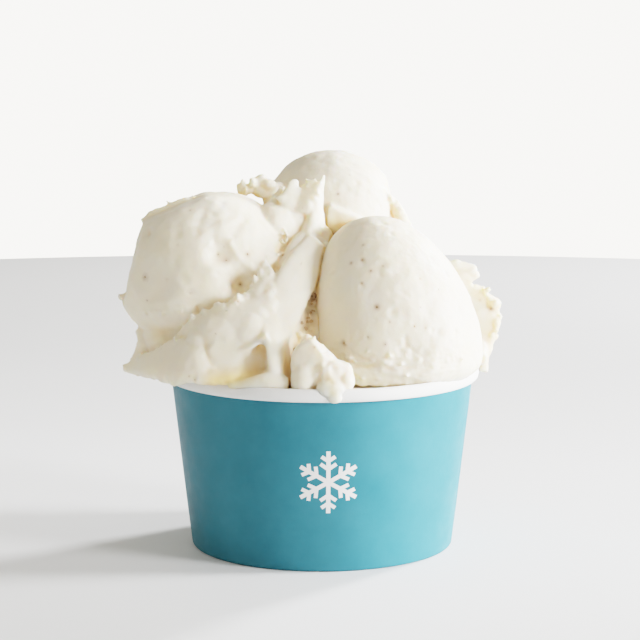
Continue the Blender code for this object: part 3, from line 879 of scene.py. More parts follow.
# %% Left scoop: petals and small lips
PETAL = [(-9.8, -7, 102, 3.6, 1.8), (-9.4, -6, 106.5, 3.6, 1.3), (-8, -4.5, 112.4, 0.6, 0.6)]
RIGHT_PETAL = [(-6.8, -7, 102.5, 2.6, 1.6), (-4.2, -5.5, 107.5, 3.2, 1.2), (-2.4, -4, 111.8, 2.8, 0.7)]
LEFT_PETAL = [(-14, -5, 101, 3.6, 2), (-13.2, -4, 106, 2.6, 1.2), (-12.2, -3, 109.4, 0.8, 0.7)]
RECESS_LIP = [(-25, -36.6, 64.6, 1, 1), (-20, -38.2, 66.6, 1.3, 1), (-15.4, -38.2, 69.4, 1.8, 1.4)]
TATTERS = [(-55, -9, 67.5, 1.6, 1.4), (-53.6, -11, 63.5, 2, 1.6), (-54.4, -10, 60.5, 2.4, 1.6)]
TATTERS += [(-55, -10, 57, 2.6, 2)]
TOP_LIP = [(-54.6, -5, 99.8, 0.7, 0.6), (-51.2, -6, 102.2, 1.2, 0.7), (-46.8, -6, 104, 1.1, 0.6)]
TOP_LIP += [(-42.4, -5.5, 105.8, 1.2, 0.7), (-38.4, -5, 106.6, 1, 0.6), (-34, -4.5, 107.4, 0.6, 0.5)]
LEDGE = [(-60.2, -4, 76.4, 0.9, 0.8), (-57.6, -13, 75.4, 1.5, 1), (-51, -21, 75.2, 1.7, 1)]
LEDGE += [(-44, -25.6, 75.8, 1.4, 0.9), (-37, -28, 77.2, 0.9, 0.7)]
FOOT_LIP = [(-27, -39.2, 55.6, 1.2, 1.2), (-21, -41, 56.2, 2, 1.6), (-15, -42, 57.2, 2.8, 2)]
FOOT_LIP += [(-9.5, -42.2, 56.2, 2.2, 1.8)]

# %% Left scoop: what fills it up under the flap and in the crevice
UNDER_FLAP = [
    dome((-25.5, -32.5, 62), (10, 6.5, 9.5), flats=[((-0.1, -0.98, 0.15), 5.2)]),
    dome((-34, -30, 66), (6, 5, 6)),
    dome((-27.5, -31, 69.5), (9, 6, 7)),
    dome((-20.5, -32.2, 70), (7, 5.8, 7.5)),
    dome((-3.6, -21, 68), (4.8, 5.2, 8.5)),
    dome((-1.8, -16, 77.5), (3.8, 4.4, 7.5)),
    dome((-20, -37.4, 56.4), (8, 3.8, 3.2)),
]
CREVICE = [(2.8, -11, 93.6, 2, 1.4), (0.6, -11.6, 88.5, 3.2, 2), (-1.4, -13.4, 82.8, 3.8, 2.2)]
CREVICE += [(-3.2, -16.8, 78, 4.2, 2.4), (-5.2, -20.4, 74.1, 4.6, 2.4), (-6.6, -24.2, 70.2, 4.6, 2.4)]
CREVICE += [(-7.4, -27.4, 66.2, 4.4, 2.4), (-8, -30.6, 62.1, 4, 2.4), (-8.6, -34.6, 58.2, 3.4, 2.2)]
CREVICE += [(-9.4, -38, 55.4, 2.6, 2)]

# %% Left scoop: folds at the back
LEFT_BACK_FLAP = [(-14, 20, 97, 1.6, 1.4), (-19, 24, 90, 4.4, 2.6), (-25, 27, 83, 6.4, 3.4)]
LEFT_BACK_FLAP += [(-33, 25, 76, 6.8, 3.4), (-42, 18, 71, 5, 3), (-50, 9, 68, 2, 1.8)]
LEFT_SKIRT = [(-58.5, 0, 56.5, 0.8, 0.8), (-53, 9, 58.4, 3.6, 2.2), (-45, 20, 60, 6.2, 3)]
LEFT_SKIRT += [(-36, 29, 60.6, 7, 3.6), (-27, 35, 59.6, 5.4, 3.4), (-19, 39, 57.8, 2.6, 2.4)]

# %% Left scoop: edges that tore
FLAP_FACE = (-0.25, -0.93, 0.25)
FLAP_EDGE = fold_edge(FLAP[1:], FLAP_FACE, -1, 0.8)
CREVICE_FLOOR = [(1.6, -13.2, 88.5), (-0.8, -15.4, 82.8), (-2.6, -19, 77.6), (-4, -22.4, 73)]
CREVICE_FLOOR += [(-5.2, -26.4, 69), (-7.6, -32.4, 63), (-8.8, -37, 57.6)]
GROOVE_TOP = [(-10.9, -13, 97.4), (-11.6, -14.6, 94.2), (-13, -17.4, 91.6), (-15.4, -20.6, 89.4)]
LEFT_BURR = [(-57.5, -7, 74.8), (-60, -4.5, 75.6), (-61.2, -4, 76.7)]
TOP_BURR = [(-53.4, -4, 100.8), (-47.1, -4, 104), (-42.8, -4, 105.6), (-38.9, -4, 106.2)]
TATTER_EDGE = [(-55.6, -7, 70.5), (-56, -8, 64.5), (-54.2, -9.5, 61.5), (-57, -8, 57)]
LOBE_EDGE = [(-59.2, -7, 54.8), (-51, -19.5, 62.5), (-44, -27, 67), (-40.7, -30.3, 66.8)]
LOBE_EDGE += [(-36, -32.6, 66.9)]
LOBE_TIP = [(-59.6, -7, 55), (-57, -11, 57.2), (-53.4, -15, 59.4)]
SKIRT_EDGE = [(-54, 9.5, 60.5), (-46, 20.5, 63), (-37, 29.5, 64.5), (-28, 35.5, 63)]
PETAL_TIPS = [(-12.2, -3.5, 109), (-8.4, -5, 111.4), (-4.6, -5, 110.8), (-1.8, -4.2, 111.6)]

# %% Fuse the left scoop
LEFT_FOLDS = [
    (RIDGE, (0.5, -0.65, 0.5), -0.4),
    (RIDGE_FACE, (0.5, -0.75, 0.45)),
    (BLADE, (0.6, -0.75, 0.2), -0.4),
    (FLAP, FLAP_FACE, -0.5, 0.2),
    (LOBE, (-0.45, -0.8, 0.4), -0.35, 0.15),
    (RECESS_LIP, (-0.1, -0.9, 0.4)),
    (TATTERS, (-0.4, -0.9, 0.1), 0, 0.4),
    (TOP_LIP, (-0.3, -0.6, 0.75), 0, 0.5),
    (LEDGE, (-0.5, -0.7, 0.5), 0, 0.5),
    (PETAL, (0.3, -0.9, 0.2), 0, 0.3),
    (RIGHT_PETAL, (-0.45, -0.85, 0.1), 0, 0.3),
    (LEFT_PETAL, (0.5, -0.8, 0.1), 0, 0.3),
    (LEFT_BACK_FLAP, (-0.3, 0.9, 0.3), 0.6, 0.2),
    (LEFT_SKIRT, (-0.6, 0.7, 0.4), 0.4, 0.2),
]
LOW_FOLDS = [(FOOT_LIP, (-0.1, -0.9, 0.4)), (CREVICE, (0.2, -0.97, 0.1))]
LEFT_CRUMBS = [
    (FLAP_EDGE, 70, (0.5, 1.4), 0.6),
    (GROOVE_TOP, 24, (0.3, 0.9), 0.8),
    (CREVICE_FLOOR, 90, (0.4, 1.5), 1),
    (LEFT_BURR, 10, (0.4, 0.9), 0.4),
    (TOP_BURR, 16, (0.3, 0.6), 0.7),
    (TATTER_EDGE, 22, (0.3, 0.9), 0.7),
    (LOBE_EDGE, 14, (0.3, 0.6), 0.5),
    (LOBE_TIP, 16, (0.4, 1.1), 0.6),
    (PETAL_TIPS, 14, (0.3, 0.8), 0.6),
    (SKIRT_EDGE, 26, (0.3, 1), 0.8),
]
left_strokes = [LEFT_BALL, *LEFT_NECKS, *folds(LEFT_FOLDS), *UNDER_FLAP, *folds(LOW_FOLDS)]
scoop_left = scoop("scoop_left_gelato", left_strokes, LEFT_CRUMBS)

# %% [markdown]
# The right scoop
#
# A tall dome that the spade drew up and over to the left in one long stroke, so it is smooth, with faint
# drag lines. Its foot was torn off the tub: a ragged band runs round it just above the rim, and thin flakes
# hang down its right side.

# %% Right scoop: flakes, foot and skirt
FLAKE = [(39, 0, 80.5, 1.6, 1.3), (44, 1, 78, 2.8, 1.5), (49, 2, 73.5, 4.4, 1.6), (50.6, 2, 68, 4.4, 1.5)]
FLAKE += [(50.2, 1, 62.5, 2.8, 1.4), (49.6, 0, 57, 1.9, 1.3), (49.2, -1.5, 53, 1.5, 1.1)]
CURL = [(35.5, 0, 85.5, 1.2, 1), (40.5, 1, 85.6, 1.6, 1.2), (45.5, 1.5, 83.8, 1.8, 1.3)]
CURL += [(46.6, 1.5, 81.4, 1.6, 1.2)]
FOOT = [(1, -31, 57.2, 2.6, 1.8), (10, -35.6, 58, 3.4, 1.8), (21, -36, 58.6, 4, 1.8)]
FOOT += [(32, -31.2, 58.6, 4, 1.8), (41, -21.6, 58, 3.6, 2)]
RIGHT_SKIRT = [(48.5, -7, 57.6, 2, 2), (48.5, 4, 59.4, 4.4, 2.8), (43.5, 16, 61, 6.4, 3.4)]
RIGHT_SKIRT += [(37.5, 25, 60, 5, 3.4), (33, 30, 58, 3, 2.8)]

# %% Right scoop: edges that tore
TORN_BAND = [(5, -33, 64.6), (9.5, -36, 62.6), (14.6, -38, 62.4), (19, -38.6, 61.4)]
TORN_BAND += [(25, -38, 63), (31, -36.8, 61.6), (38, -33, 61)]
BAND_FOOT = [(6, -37, 57.4), (14, -39.2, 57.6), (24, -39, 57.8), (34, -34.6, 58)]
FLAKE_EDGE = [(44.5, 0.5, 81), (51.5, 1.5, 75), (54, 1.5, 70), (53, 1, 64)]
FLAKE_EDGE += [(50.6, 0, 57)]
CURL_EDGE = [(37, 0, 86), (42, 1, 86.6), (46, 1.5, 84.6)]
RIGHT_SKIRT_EDGE = [(50, 4, 62.4), (45.5, 17, 65.5), (39, 26, 64)]

# %% Fuse the right scoop
RIGHT_DOMES = [
    dome((22, -12, 60), (26.4, 27, 42), under=11, lean=-6.2, flats=[((0.15, -0.98, 0.12), 26)]),
    dome((21, -8, 60), (20, 22, 14)),
    dome((41.5, 1, 81.5), (4.6, 2.2, 2.4)),
    dome((52.4, 2.6, 73.4), (2.6, 1.8, 2.2)),
    dome((30, 10, 62), (16, 15, 17), flats=[((0.7, 0.7, 0.2), 14)]),
]
RIGHT_FOLDS = [
    (FLAKE, (0.2, -0.95, 0.1), 0.4, 0.28),
    (CURL, (0, -0.9, 0.4), 0, 0.4),
    (FOOT, (0.1, -0.9, 0.3), 0, 0.1),
    (RIGHT_SKIRT, (0.8, 0.5, 0.3), 0.4, 0.2),
]
RIGHT_CRUMBS = [
    (TORN_BAND, 26, (0.3, 1), 1.2),
    (BAND_FOOT, 8, (0.3, 0.7), 0.8),
    (FLAKE_EDGE, 16, (0.6, 1.5), 0.6),
    (CURL_EDGE, 10, (0.5, 1.2), 0.5),
    (RIGHT_SKIRT_EDGE, 26, (0.3, 1), 0.8),
]
scoop_right = scoop("scoop_right_gelato", RIGHT_DOMES + folds(RIGHT_FOLDS), RIGHT_CRUMBS)

# %% [markdown]
# The back scoop and the lump in front
#
# The back scoop is a smaller ball, set higher behind the lip. Its own flake hangs down on the right, and a
# few crumbs sit on its left shoulder. The lump in front is a torn-off end that hangs over the rim.

# %% Back scoop: flake, facet, skirt and flap
BACK_FLAKE = [(19.5, 11, 106.5, 1.4, 1), (22.8, 11, 102.5, 2.4, 1.6), (25, 11, 96, 3.6, 2.6)]
BACK_FLAKE += [(28, 13, 85, 5, 3.6), (32, 16, 70, 5.6, 4), (33, 20, 58, 5, 4)]
FACET = dome(
    (5.8, -1.6, 99.6),
    (8, 5, 5.6),
    flats=[
        ((0.12, -0.97, 0.2), 3.2),
        ((0.42, -0.1, 0.9), 3.2),
        ((-0.95, -0.2, 0.1), 4.8),
        ((0.5, 0.1, -0.85), 3.4),
    ],
)
BACK_SKIRT = [(-21, 36, 58, 2, 2), (-12, 41.5, 60.4, 5.6, 3.2), (0, 44, 62.4, 8, 3.8)]
BACK_SKIRT += [(11, 43.5, 61.6, 7, 3.6), (22, 39.5, 59.4, 4.4, 3.2), (31, 33.5, 57.6, 2.2, 2)]
BACK_FLAP = [(22, 30, 92, 1.2, 1.2), (16, 36.5, 86, 4.6, 2.4), (7, 40.5, 80, 7, 3.2)]
BACK_FLAP += [(-4, 40, 75, 7.4, 3.4), (-14, 34.5, 71, 5.4, 3), (-21, 27, 68, 2.6, 2)]

# %% Back scoop: edges that tore
SHOULDER_CRUMBS = [(-24.5, 6, 108), (-20.5, 6.5, 109.4), (-17, 7.5, 109.8), (-13.5, 8, 107.5)]
BACK_FLAKE_EDGE = [(19.8, 9.8, 106.8), (23.6, 9.6, 103), (26.4, 9.4, 97.5), (27, 9.6, 92)]
BACK_SKIRT_EDGE = [(-13, 42.5, 63.5), (0, 45.5, 67.5), (12, 45, 66), (23, 40.5, 62.5)]

# %% Fuse the back scoop
BACK_DOMES = [
    dome((3, 20, 97.5), (22, 21.5, 22), flats=[((0.99, -0.05, 0.1), 18.6)]),
    dome((2, 17, 74), (20, 23, 27)),
    dome((-18.6, 7, 107.6), (2.8, 2.6, 2)),
    dome((-22.6, 6, 107.8), (1.6, 1.4, 1)),
    dome((-15, 9, 106), (3.4, 3.6, 4.2)),
]
BACK_FOLDS = [
    (BACK_FLAKE, (0.8, 0.3, 0.3), 0, 0.2),
    (BACK_SKIRT, (0.1, 0.9, 0.45), 0.45, 0.2),
    (BACK_FLAP, (0.1, 0.93, 0.25), 0.6, 0.2),
]
BACK_CRUMBS = [
    (SHOULDER_CRUMBS, 44, (0.6, 1.8), 1.1),
    (BACK_FLAKE_EDGE, 20, (0.3, 0.9), 0.7),
    (BACK_SKIRT_EDGE, 32, (0.3, 1.1), 0.8),
]
scoop_back = scoop("scoop_back_gelato", [*BACK_DOMES, FACET, *folds(BACK_FOLDS)], BACK_CRUMBS)

# %% Lump over the front of the rim
LUMP_EDGE = [(-4.4, -39.6, 69.6), (-0.5, -42.6, 66.4), (3, -43.6, 64.6), (6.6, -44.6, 61)]
LUMP_EDGE += [(8.6, -45, 57)]
LUMP_FLATS = [((0.66, -0.2, 0.72), 5.4), ((-0.25, -0.95, 0.2), 3.9)]
LUMP_DOMES = [
    dome((-2.2, -41.2, 61.4), (7, 4.8, 8), flats=LUMP_FLATS),
    dome((3.6, -42.8, 59), (5.4, 4.6, 5.2), flats=[((0.35, -0.9, 0.3), 3.6), ((0.3, 0, 0.95), 4.2)]),
    dome((6.8, -44, 57.2), (2.8, 3, 3.6)),
    dome((-5.4, -42.2, 57.4), (3.8, 4.6, 5.2)),
    dome((-4.4, -38.8, 67.2), (2.2, 2.4, 3.2)),
    dome((2.4, -46.4, 55.2), (4.2, 2.2, 3.2)),
    dome((3.6, -47.4, 53), (2.2, 1.5, 1.7)),
]
LUMP_CRUMBS = [(LUMP_EDGE, 20, (0.3, 0.8), 0.6)]
front_lump = scoop("front_lump_gelato", LUMP_DOMES, LUMP_CRUMBS, steps=4)

# %% [markdown]
# Marks of the spade
#
# These are the places where the real heap isn't smooth: hollows, creases and drag lines, each a short path
# with a width and a depth. A negative depth raises a ridge. Beside them stand the torn places, where the
# grain is rough.

# %% Marks on the left scoop
HOLLOW = (-24.2, -24, 82.5)
left_marks = [
    ([HOLLOW], 2.6, 0.9),
    ([(-28.6, -25.6, 90.3), (-31, -26, 90.8)], 2.2, 0.8),
    ([(-27, -24, 94.6), (-24.7, -24.4, 91.2), (-22.4, -24, 88.8), (-20, -23.6, 87.2)], 1, -0.5),
    ([(-34.6, -17, 104), (-36, -20.2, 101.4)], 1.2, 0.25),
    ([(-26.2, -22.4, 97.2), (-24.2, -19.8, 99.8)], 1.3, 0.4),
    ([(-42.4, -22.2, 97.5)], 1.2, 0.25),
    ([(-34.3, -24.4, 96), (-31.6, -23.8, 96.8)], 1, 0.25),
    ([(-32.2, -28.4, 77.6), (-37.2, -28.2, 77)], 1.8, 0.6),
    ([(-46, -20, 67.2), (-44.4, -21.5, 66.4)], 2.2, 1),
    ([(-34, -33, 66), (-32.2, -35.6, 62.6)], 1.8, 0.8),
    ([(-13.6, -20.8, 88), (-15.2, -27, 85), (-17.2, -31, 81.6)], 1.3, 0.7),
    ([(-11.6, -14, 95), (-12.8, -17.2, 91.8)], 1.3, 0.8),
    ([(-2.6, -11.8, 97.2), (-0.6, -10.1, 96.2), (1.2, -8.7, 95)], 0.8, 0.6),
    ([(-3.6, -13.4, 96), (0.4, -11.4, 94.6)], 0.9, -0.5),
    ([(-6.5, -23.2, 81), (-10.8, -29.3, 75.9)], 1.6, 0.25),
    ([(-8, -21, 87), (-12, -28, 79)], 1.2, -0.3),
    ([(-38.6, -28.2, 80.8)], 1, 0.4),
    ([(-28.7, -26.6, 82.1)], 1, -0.4),
    ([(-47.7, -22.6, 92.8), (-43.1, -25.7, 89.6)], 2.4, 0.25),
    ([(-36.8, -21.4, 100.1), (-31.5, -20.5, 100.9)], 1.2, 0.35),
    ([(-27.7, -21.6, 99.2), (-23.1, -18, 100.9)], 1.1, 0.4),
    ([(-35.7, -27.9, 87.5), (-40.1, -27.8, 84.6)], 1.4, 0.3),
    ([(-50.7, -23.1, 78), (-46.3, -24.5, 73.8)], 1.6, 0.4),
    ([(-16.8, -38, 66.6), (-16.8, -39.2, 61)], 1.9, 2.4),
    ([(-22, -38.6, 62.4), (-17.4, -38.4, 64.6)], 2.2, 1.2),
    ([(-24.5, -39.4, 57.8), (-18.8, -40.2, 60)], 1.2, 0.8),
]
left_torn = [
    (FLAP_EDGE, 2.2, 0.30),
    (GROOVE_TOP, 2, 0.30),
    (LEFT_BURR, 2, 0.25),
    (TATTER_EDGE, 2.4, 0.25),
    (TOP_BURR, 1.6, 0.20),
    ([(-30, -25, 86), (-26, -25.5, 84)], 3, 0.14),
    ([(-36, -38, 57), (-25, -39.5, 56.5)], 2, 0.20),
    (SKIRT_EDGE, 3, 0.25),
    ([(-25, 27, 83), (-33, 25, 76), (-42, 18, 71)], 4, 0.16),
]
relieve(scoop_left, left_marks, left_torn, swell=0.13, pits=130, smears=34, seed=1.0)
print("marks on the left scoop", len(left_marks))

# %% Marks on the right scoop
right_marks = [
    ([(17, -31, 89.2), (14.4, -33.6, 82)], 1.4, 0.18),
    ([(24, -37.3, 68.8), (24.4, -37.2, 66.4), (22.6, -37.8, 65.2)], 0.7, 0.4),
    ([(24.4, -37.2, 66.8), (26.4, -37.2, 65.2)], 0.6, 0.35),
    ([(13.3, -36.9, 69.1)], 0.9, 0.3),
    ([(18, -31.9, 87.6), (19.4, -31.8, 87)], 0.8, -0.3),
    ([(9.5, -36.6, 60.8), (14.6, -38.6, 60.6), (20, -39.4, 59.6), (26, -38.8, 60.6)], 1.1, 0.7),
    ([(14.5, -37.9, 62.6), (17, -38.4, 62.2), (19.2, -38.8, 61.4)], 0.8, -0.5),
    ([(34.3, -33.6, 72.1), (32, -35.2, 68)], 1.6, 0.18),
    ([(5, -28, 86), (7, -32.5, 76), (8.5, -35, 66)], 2, 0.22),
    ([(28.5, -31, 85.3), (31, -35, 73)], 1.8, 0.15),
]
right_torn = [
    (TORN_BAND, 3.4, 0.42),
    (BAND_FOOT, 2.8, 0.14),
    (FLAKE_EDGE, 2.4, 0.22),
    (CURL_EDGE, 1.6, 0.20),
    ([(30, -36, 66), (40, -30, 63)], 3, 0.12),
    (RIGHT_SKIRT_EDGE, 3, 0.25),
]
relieve(scoop_right, right_marks, right_torn, swell=0.09, pits=90, smears=40, seed=2.0)
print("marks on the right scoop", len(right_marks))

# %% Marks on the back scoop and the lump
back_torn = [(SHOULDER_CRUMBS, 2.4, 0.25), (BACK_FLAKE_EDGE, 2, 0.2), (BACK_SKIRT_EDGE, 3, 0.25)]
relieve(scoop_back, [], back_torn, swell=0.10, pits=60, smears=30, seed=3.0)
lump_marks = [
    ([(-2.3, -45.4, 61.4)], 1.3, 0.6),
    ([(2.8, -45.9, 61.4), (3.2, -46, 60)], 1.2, 0.6),
    ([(0.2, -45.8, 62.4), (0.6, -46.2, 59)], 0.7, -0.4),
]
relieve(front_lump, lump_marks, [(LUMP_EDGE, 2, 0.18)], swell=0.12, pits=8, seed=4.0)
print("marks on the lump", len(lump_marks))

# %% [markdown]
# Gelato packed into the cup
#
# Below the scoops the cup is filled to just under its rim. It shows in the gaps between them and the rim.
# It is spun like the cup, with its top drawn in close rings, so that the same noise can unsettle it.

# %% Packed gelato
BED_TOP = 53.6
BED_SWELL = 0.9
BED_GAP = 0.05  # to the wall
BED_SHOULDER = 1.0
LID_STEP = 0.012  # between two rings, as a share of the radius
CALM_EDGE = 2.0  # width of the ring at the edge where the noise fades out

bottom = FLOOR_HEIGHT + FLOOR_BOARD / 2 + EMBOSS_DEPTH + 0.1
bottom_radius = wall_radius(bottom) - BOARD - BED_GAP
inner_top = wall_radius(BED_TOP) - BOARD - BED_GAP
bed_outline = [(0.0, bottom), (bottom_radius, bottom), (inner_top - 0.1, BED_TOP - BED_SHOULDER)]
for step in range(3, 80):
    share = 1.0 - LID_STEP * step
    bed_outline.append((inner_top * share, BED_TOP + BED_SWELL * (1 - share * share)))
bed_outline.append((0.0, BED_TOP + BED_SWELL))
gelato_bed = mesh_object("packed_gelato", spun(bed_outline, closed=False), 1.0, ORIGIN)
points, _ = to_arrays(gelato_bed)
from_edge = inner_top - np.hypot(points[:, 0], points[:, 1])
settled = (points[:, 2] > BED_TOP - BED_SHOULDER / 2) * np.clip(from_edge / CALM_EDGE, 0, 1)
points[:, 2] += settled * (0.3 * waves(points, 4.0, 5.0) + 0.12 * waves(points, 1.4, 8.0))
put_back(gelato_bed, points)
print("packed gelato", len(gelato_bed.data.polygons), "faces")

# %% [markdown]
# Clear of the cup
#
# The scoops were shaped with no regard for the cup, so their feet reach into the rim. Real gelato lies on
# the rim and doesn't pass through it. Moving the points out of the way would crumple the skin, so the space
# of the cup and its filling is spun as one closed form, a hair larger than they are, and taken out of each
# scoop with a Boolean. Crumbs that lose their hold are dropped.

# %% The space of the cup
TOUCH = 0.02
OVER_RIM = 0.55  # radius of the form's outer corner over the rim
INTO_CUP = 0.5  # and of its inner one
RIM_DROP = 1.0
BED_DROP = 0.6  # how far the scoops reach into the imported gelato
BELOW = -1.0


def cup_cutter():
    """The space of the cup and its packed gelato, that the scoops only touch."""
    outside = wall_radius(SHOULDER_HEIGHT) - BOARD + RIM_WIDTH + TOUCH
    inside = wall_radius(BED_TOP) - BOARD - TOUCH
    corner_height = CUP_HEIGHT - RIM_DROP
    over_rim = arc((outside - OVER_RIM, corner_height), (OVER_RIM, RIM_DROP + TOUCH), 0, 90, 6)
    into_cup = arc((inside + INTO_CUP, corner_height), (INTO_CUP, RIM_DROP + TOUCH), 90, 180, 5)
    outline = [(0.0, BELOW), (wall_radius(BELOW) + TOUCH, BELOW)]
    outline += [(wall_radius(SHOULDER_HEIGHT) + TOUCH, SHOULDER_HEIGHT), (outside, SHOULDER_HEIGHT + 0.4)]
    outline += [*over_rim, *into_cup, *((inside * share, BED_TOP - BED_DROP) for share in (1.0, 0.5, 0.0))]
    cutter = mesh_object("cup_space", spun(outline, closed=False, sides=160), 1.0, ORIGIN)
    cutter.hide_render = True
    return cutter


def islands(bm):
    """The groups of vertices that hang together."""
    left = set(bm.verts)
    groups = []
    while left:
        group, queue = set(), [left.pop()]
        while queue:
            vert = queue.pop()
            group.add(vert)
            near = {edge.other_vert(vert) for edge in vert.link_edges} & left
            left -= near
            queue.extend(near)
        groups.append(group)
    return groups


def cut_clear(obj, cutter):
    """Cut the cup's space out and drop what falls off."""
    cut = obj.modifiers.new("clear of the cup", "BOOLEAN")
    cut.operation = "DIFFERENCE"
    cut.solver = "MANIFOLD"
    cut.object = cutter
    evaluated(obj)
    bm = bmesh.new()
    bm.from_mesh(obj.data)
    groups = islands(bm)
    largest = max(groups, key=len)
    bmesh.ops.delete(bm, geom=[vert for vert in bm.verts if vert not in largest], context="VERTS")
    bm.to_mesh(obj.data)
    bm.free()
    print(obj.name, "cut clear, pieces dropped:", len(groups) - 1)


# %% Cut the scoops
SCOOPS = {
    "scoop_left": scoop_left,
    "scoop_right": scoop_right,
    "scoop_back": scoop_back,
    "front_lump": front_lump,
}
cutter = cup_cutter()
for obj in SCOOPS.values():
    cut_clear(obj, cutter)
bpy.data.objects.remove(cutter)

# %% [markdown]
# How deep a place lies
#
# In the real heap the hollows glow a warm amber, as light that bounces about between cream walls loses its
# blue. Rendering gives part of it. To give the rest the same look in every renderer, it is painted into the
# colour: each vertex stores how deep it lies, the distance below the same skin after long smoothing, and
# how close another scoop stands in front of it. The material then paints a warm glow of light and shade by
# that number. Some thin or melting places, where light shines through, get the same painted glow, and are
# added by their paths.

# %% Thin or melting places and recesses, painted with a warm glow of light: path, width, strength
PAINTED_GLOW_PLACES = [
    ([(-31, -39, 56.4), (-24, -40, 57.6), (-18.6, -39.4, 60.6)], 3.4, 1),
    ([(-19.6, -38.6, 63.6), (-16.4, -38, 66.6)], 2, 0.25),
    ([(-49, -17.5, 68), (-43.5, -24, 66.6)], 3.4, 0.5),
    ([(-11.6, -14, 94), (-12.8, -17.2, 91.8)], 1.6, 0.7),
    ([(-9.6, -6, 101.5), (-5, -5.5, 101.5), (-13, -4.5, 101.5)], 2.4, 0.7),
    (CREVICE_FLOOR, 3.4, 0.75),
    ([(3.5, -4.5, 98.6), (8, -4.5, 97.4)], 3.6, 0.8),
    (FLAKE_EDGE, 3.4, 0.45),
    ([(2, -46.4, 59), (3.4, -48, 55)], 1.6, 0.6),
    ([HOLLOW], 2.6, 0.6),
]

# %% Helpers for measuring


def surface_tree(objects):
    """A search tree over the faces of some objects."""
    bm = bmesh.new()
    for obj in objects:
        bm.from_mesh(obj.data)
    tree = BVHTree.FromBMesh(bm)
    bm.free()
    return tree


def smoothed_points(obj, rounds):
    """Where the vertices go when the skin is smoothed for many rounds."""
    smooth = obj.modifiers.new("long smoothing", "SMOOTH")
    smooth.factor = 0.9
    smooth.iterations = rounds
    graph = bpy.context.evaluated_depsgraph_get()
    mesh = bpy.data.meshes.new_from_object(obj.evaluated_get(graph))
    obj.modifiers.clear()
    points = np.empty(len(mesh.vertices) * 3)
    mesh.vertices.foreach_get("co", points)
    bpy.data.meshes.remove(mesh)
    return points.reshape(-1, 3)


def store(obj, name, values):
    """Keep one number for each vertex."""
    attribute = obj.data.attributes.new(name, "FLOAT", "POINT")
    attribute.data.foreach_set("value", np.asarray(values, np.float32))


# %% Measure the hollows
HOLLOW_DEPTH = 1.6
CREVICE_WIDTH = 5.0
LONG_SMOOTHING = 60  # rounds
OFF_SKIN = 0.2  # so that a ray doesn't meet the skin it starts from

trees = {name: surface_tree([obj]) for name, obj in SCOOPS.items()}
for name, obj in SCOOPS.items():
    points, normals = to_arrays(obj)
    sunk = ((smoothed_points(obj, LONG_SMOOTHING) - points) * normals).sum(axis=1) / HOLLOW_DEPTH
    deep = np.clip(sunk, 0.0, 1.0)
    for path, width, strength in PAINTED_GLOW_PLACES:
        deep = np.maximum(deep, strength * nearness(points, path, width))
    others = [tree for other, tree in trees.items() if other != name]
    for i, (point, normal) in enumerate(zip(points, normals)):
        start = Vector(point) + Vector(normal) * OFF_SKIN
        for tree in others:
            hit = tree.ray_cast(start, Vector(normal), CREVICE_WIDTH)
            if hit[0] is not None:
                deep[i] = max(deep[i], 1.0 - hit[3] / CREVICE_WIDTH)
    # painted light: this number sets the warm glow painted into the colour, for light bounced in hollows
    # and crevices and shining through thin places
    store(obj, "hollow", deep)
    print(name, "hollow share", round(float((deep > 0.3).mean()), 3))

# %% [markdown]
# Flecks
#
# Small bits of toasted nut and vanilla are churned into the gelato. Most lie just under the surface and
# show as soft brown stains; some stick out of it. So each fleck gives a stain, a number stored on the
# vertices round it, that the material browns, and a dark one gives a grain too, a squashed ball with uneven
# corners. Those seen in the photograph are placed by how far across and how high they lie on the front,
# many lie in the crevice, and the others fall at random all round. The grains are joined to one mesh.

# %% Flecks seen on the front: across, up, size in millimetres, and how dark
SEEN = [(11.7, 90.6, 0.5, 0.8), (14.2, 87.7, 0.6, 0.6), (11.6, 84.2, 0.45, 0.7), (15.9, 77.7, 0.8, 0.9)]
SEEN += [(6.4, 66.8, 0.8, 0.9), (17.7, 89.1, 0.35, 0.5), (28.5, 85.3, 0.3, 0.4), (19.6, 73.5, 0.3, 0.5)]
SEEN += [(30.1, 71.5, 0.3, 0.4), (13.3, 69.1, 0.3, 0.6), (51.7, 72.1, 0.7, 0.9), (48.3, 74.9, 0.4, 0.5)]
SEEN += [(-24.2, 82.5, 0.5, 0.8), (-52.2, 84.7, 0.6, 0.8), (-11.6, 90.8, 0.5, 0.8), (-38.6, 80.8, 0.3, 0.5)]
SEEN += [(-28.1, 90.0, 0.7, 0.5), (-30.5, 91.7, 0.5, 0.4), (-42.3, 94.4, 0.4, 0.3)]
SEEN += [(-39.0, 104.0, 0.4, 0.4)]
SEEN += [(-38.5, 57.8, 0.3, 0.6), (-36.8, 56.8, 0.3, 0.5), (-24.4, 79.0, 0.5, 0.9), (8.5, 112.8, 0.3, 0.5)]

# %% Drop the flecks
FRONT = -200.0
BACKWARDS = (0, 1, 0)
CREVICE_FLECKS = 40
CREVICE_SPREAD = 0.7
CREVICE_START = 4.0  # how far in front of the crevice's floor a fleck starts
CREVICE_SIZES = (0.6, 1.8)
CREVICE_DARKNESS = (0.35, 0.8)
STREWN = 100
STREWN_FROM = 150
STREWN_HEIGHTS = (40, 170)
STREWN_TARGETS = ((-30, 30), (-20, 20), (60, 105))
STREWN_DARKNESS = (0.15, 0.7)

SLOTTED = {**SCOOPS, "gelato_bed": gelato_bed}
skin = surface_tree(SLOTTED.values())


def drop(start, toward):
    """Where a ray meets the heap, with the surface's direction there."""
    place, normal, _, _ = skin.ray_cast(Vector(start), Vector(toward).normalized())
    return None if place is None else (place, normal)


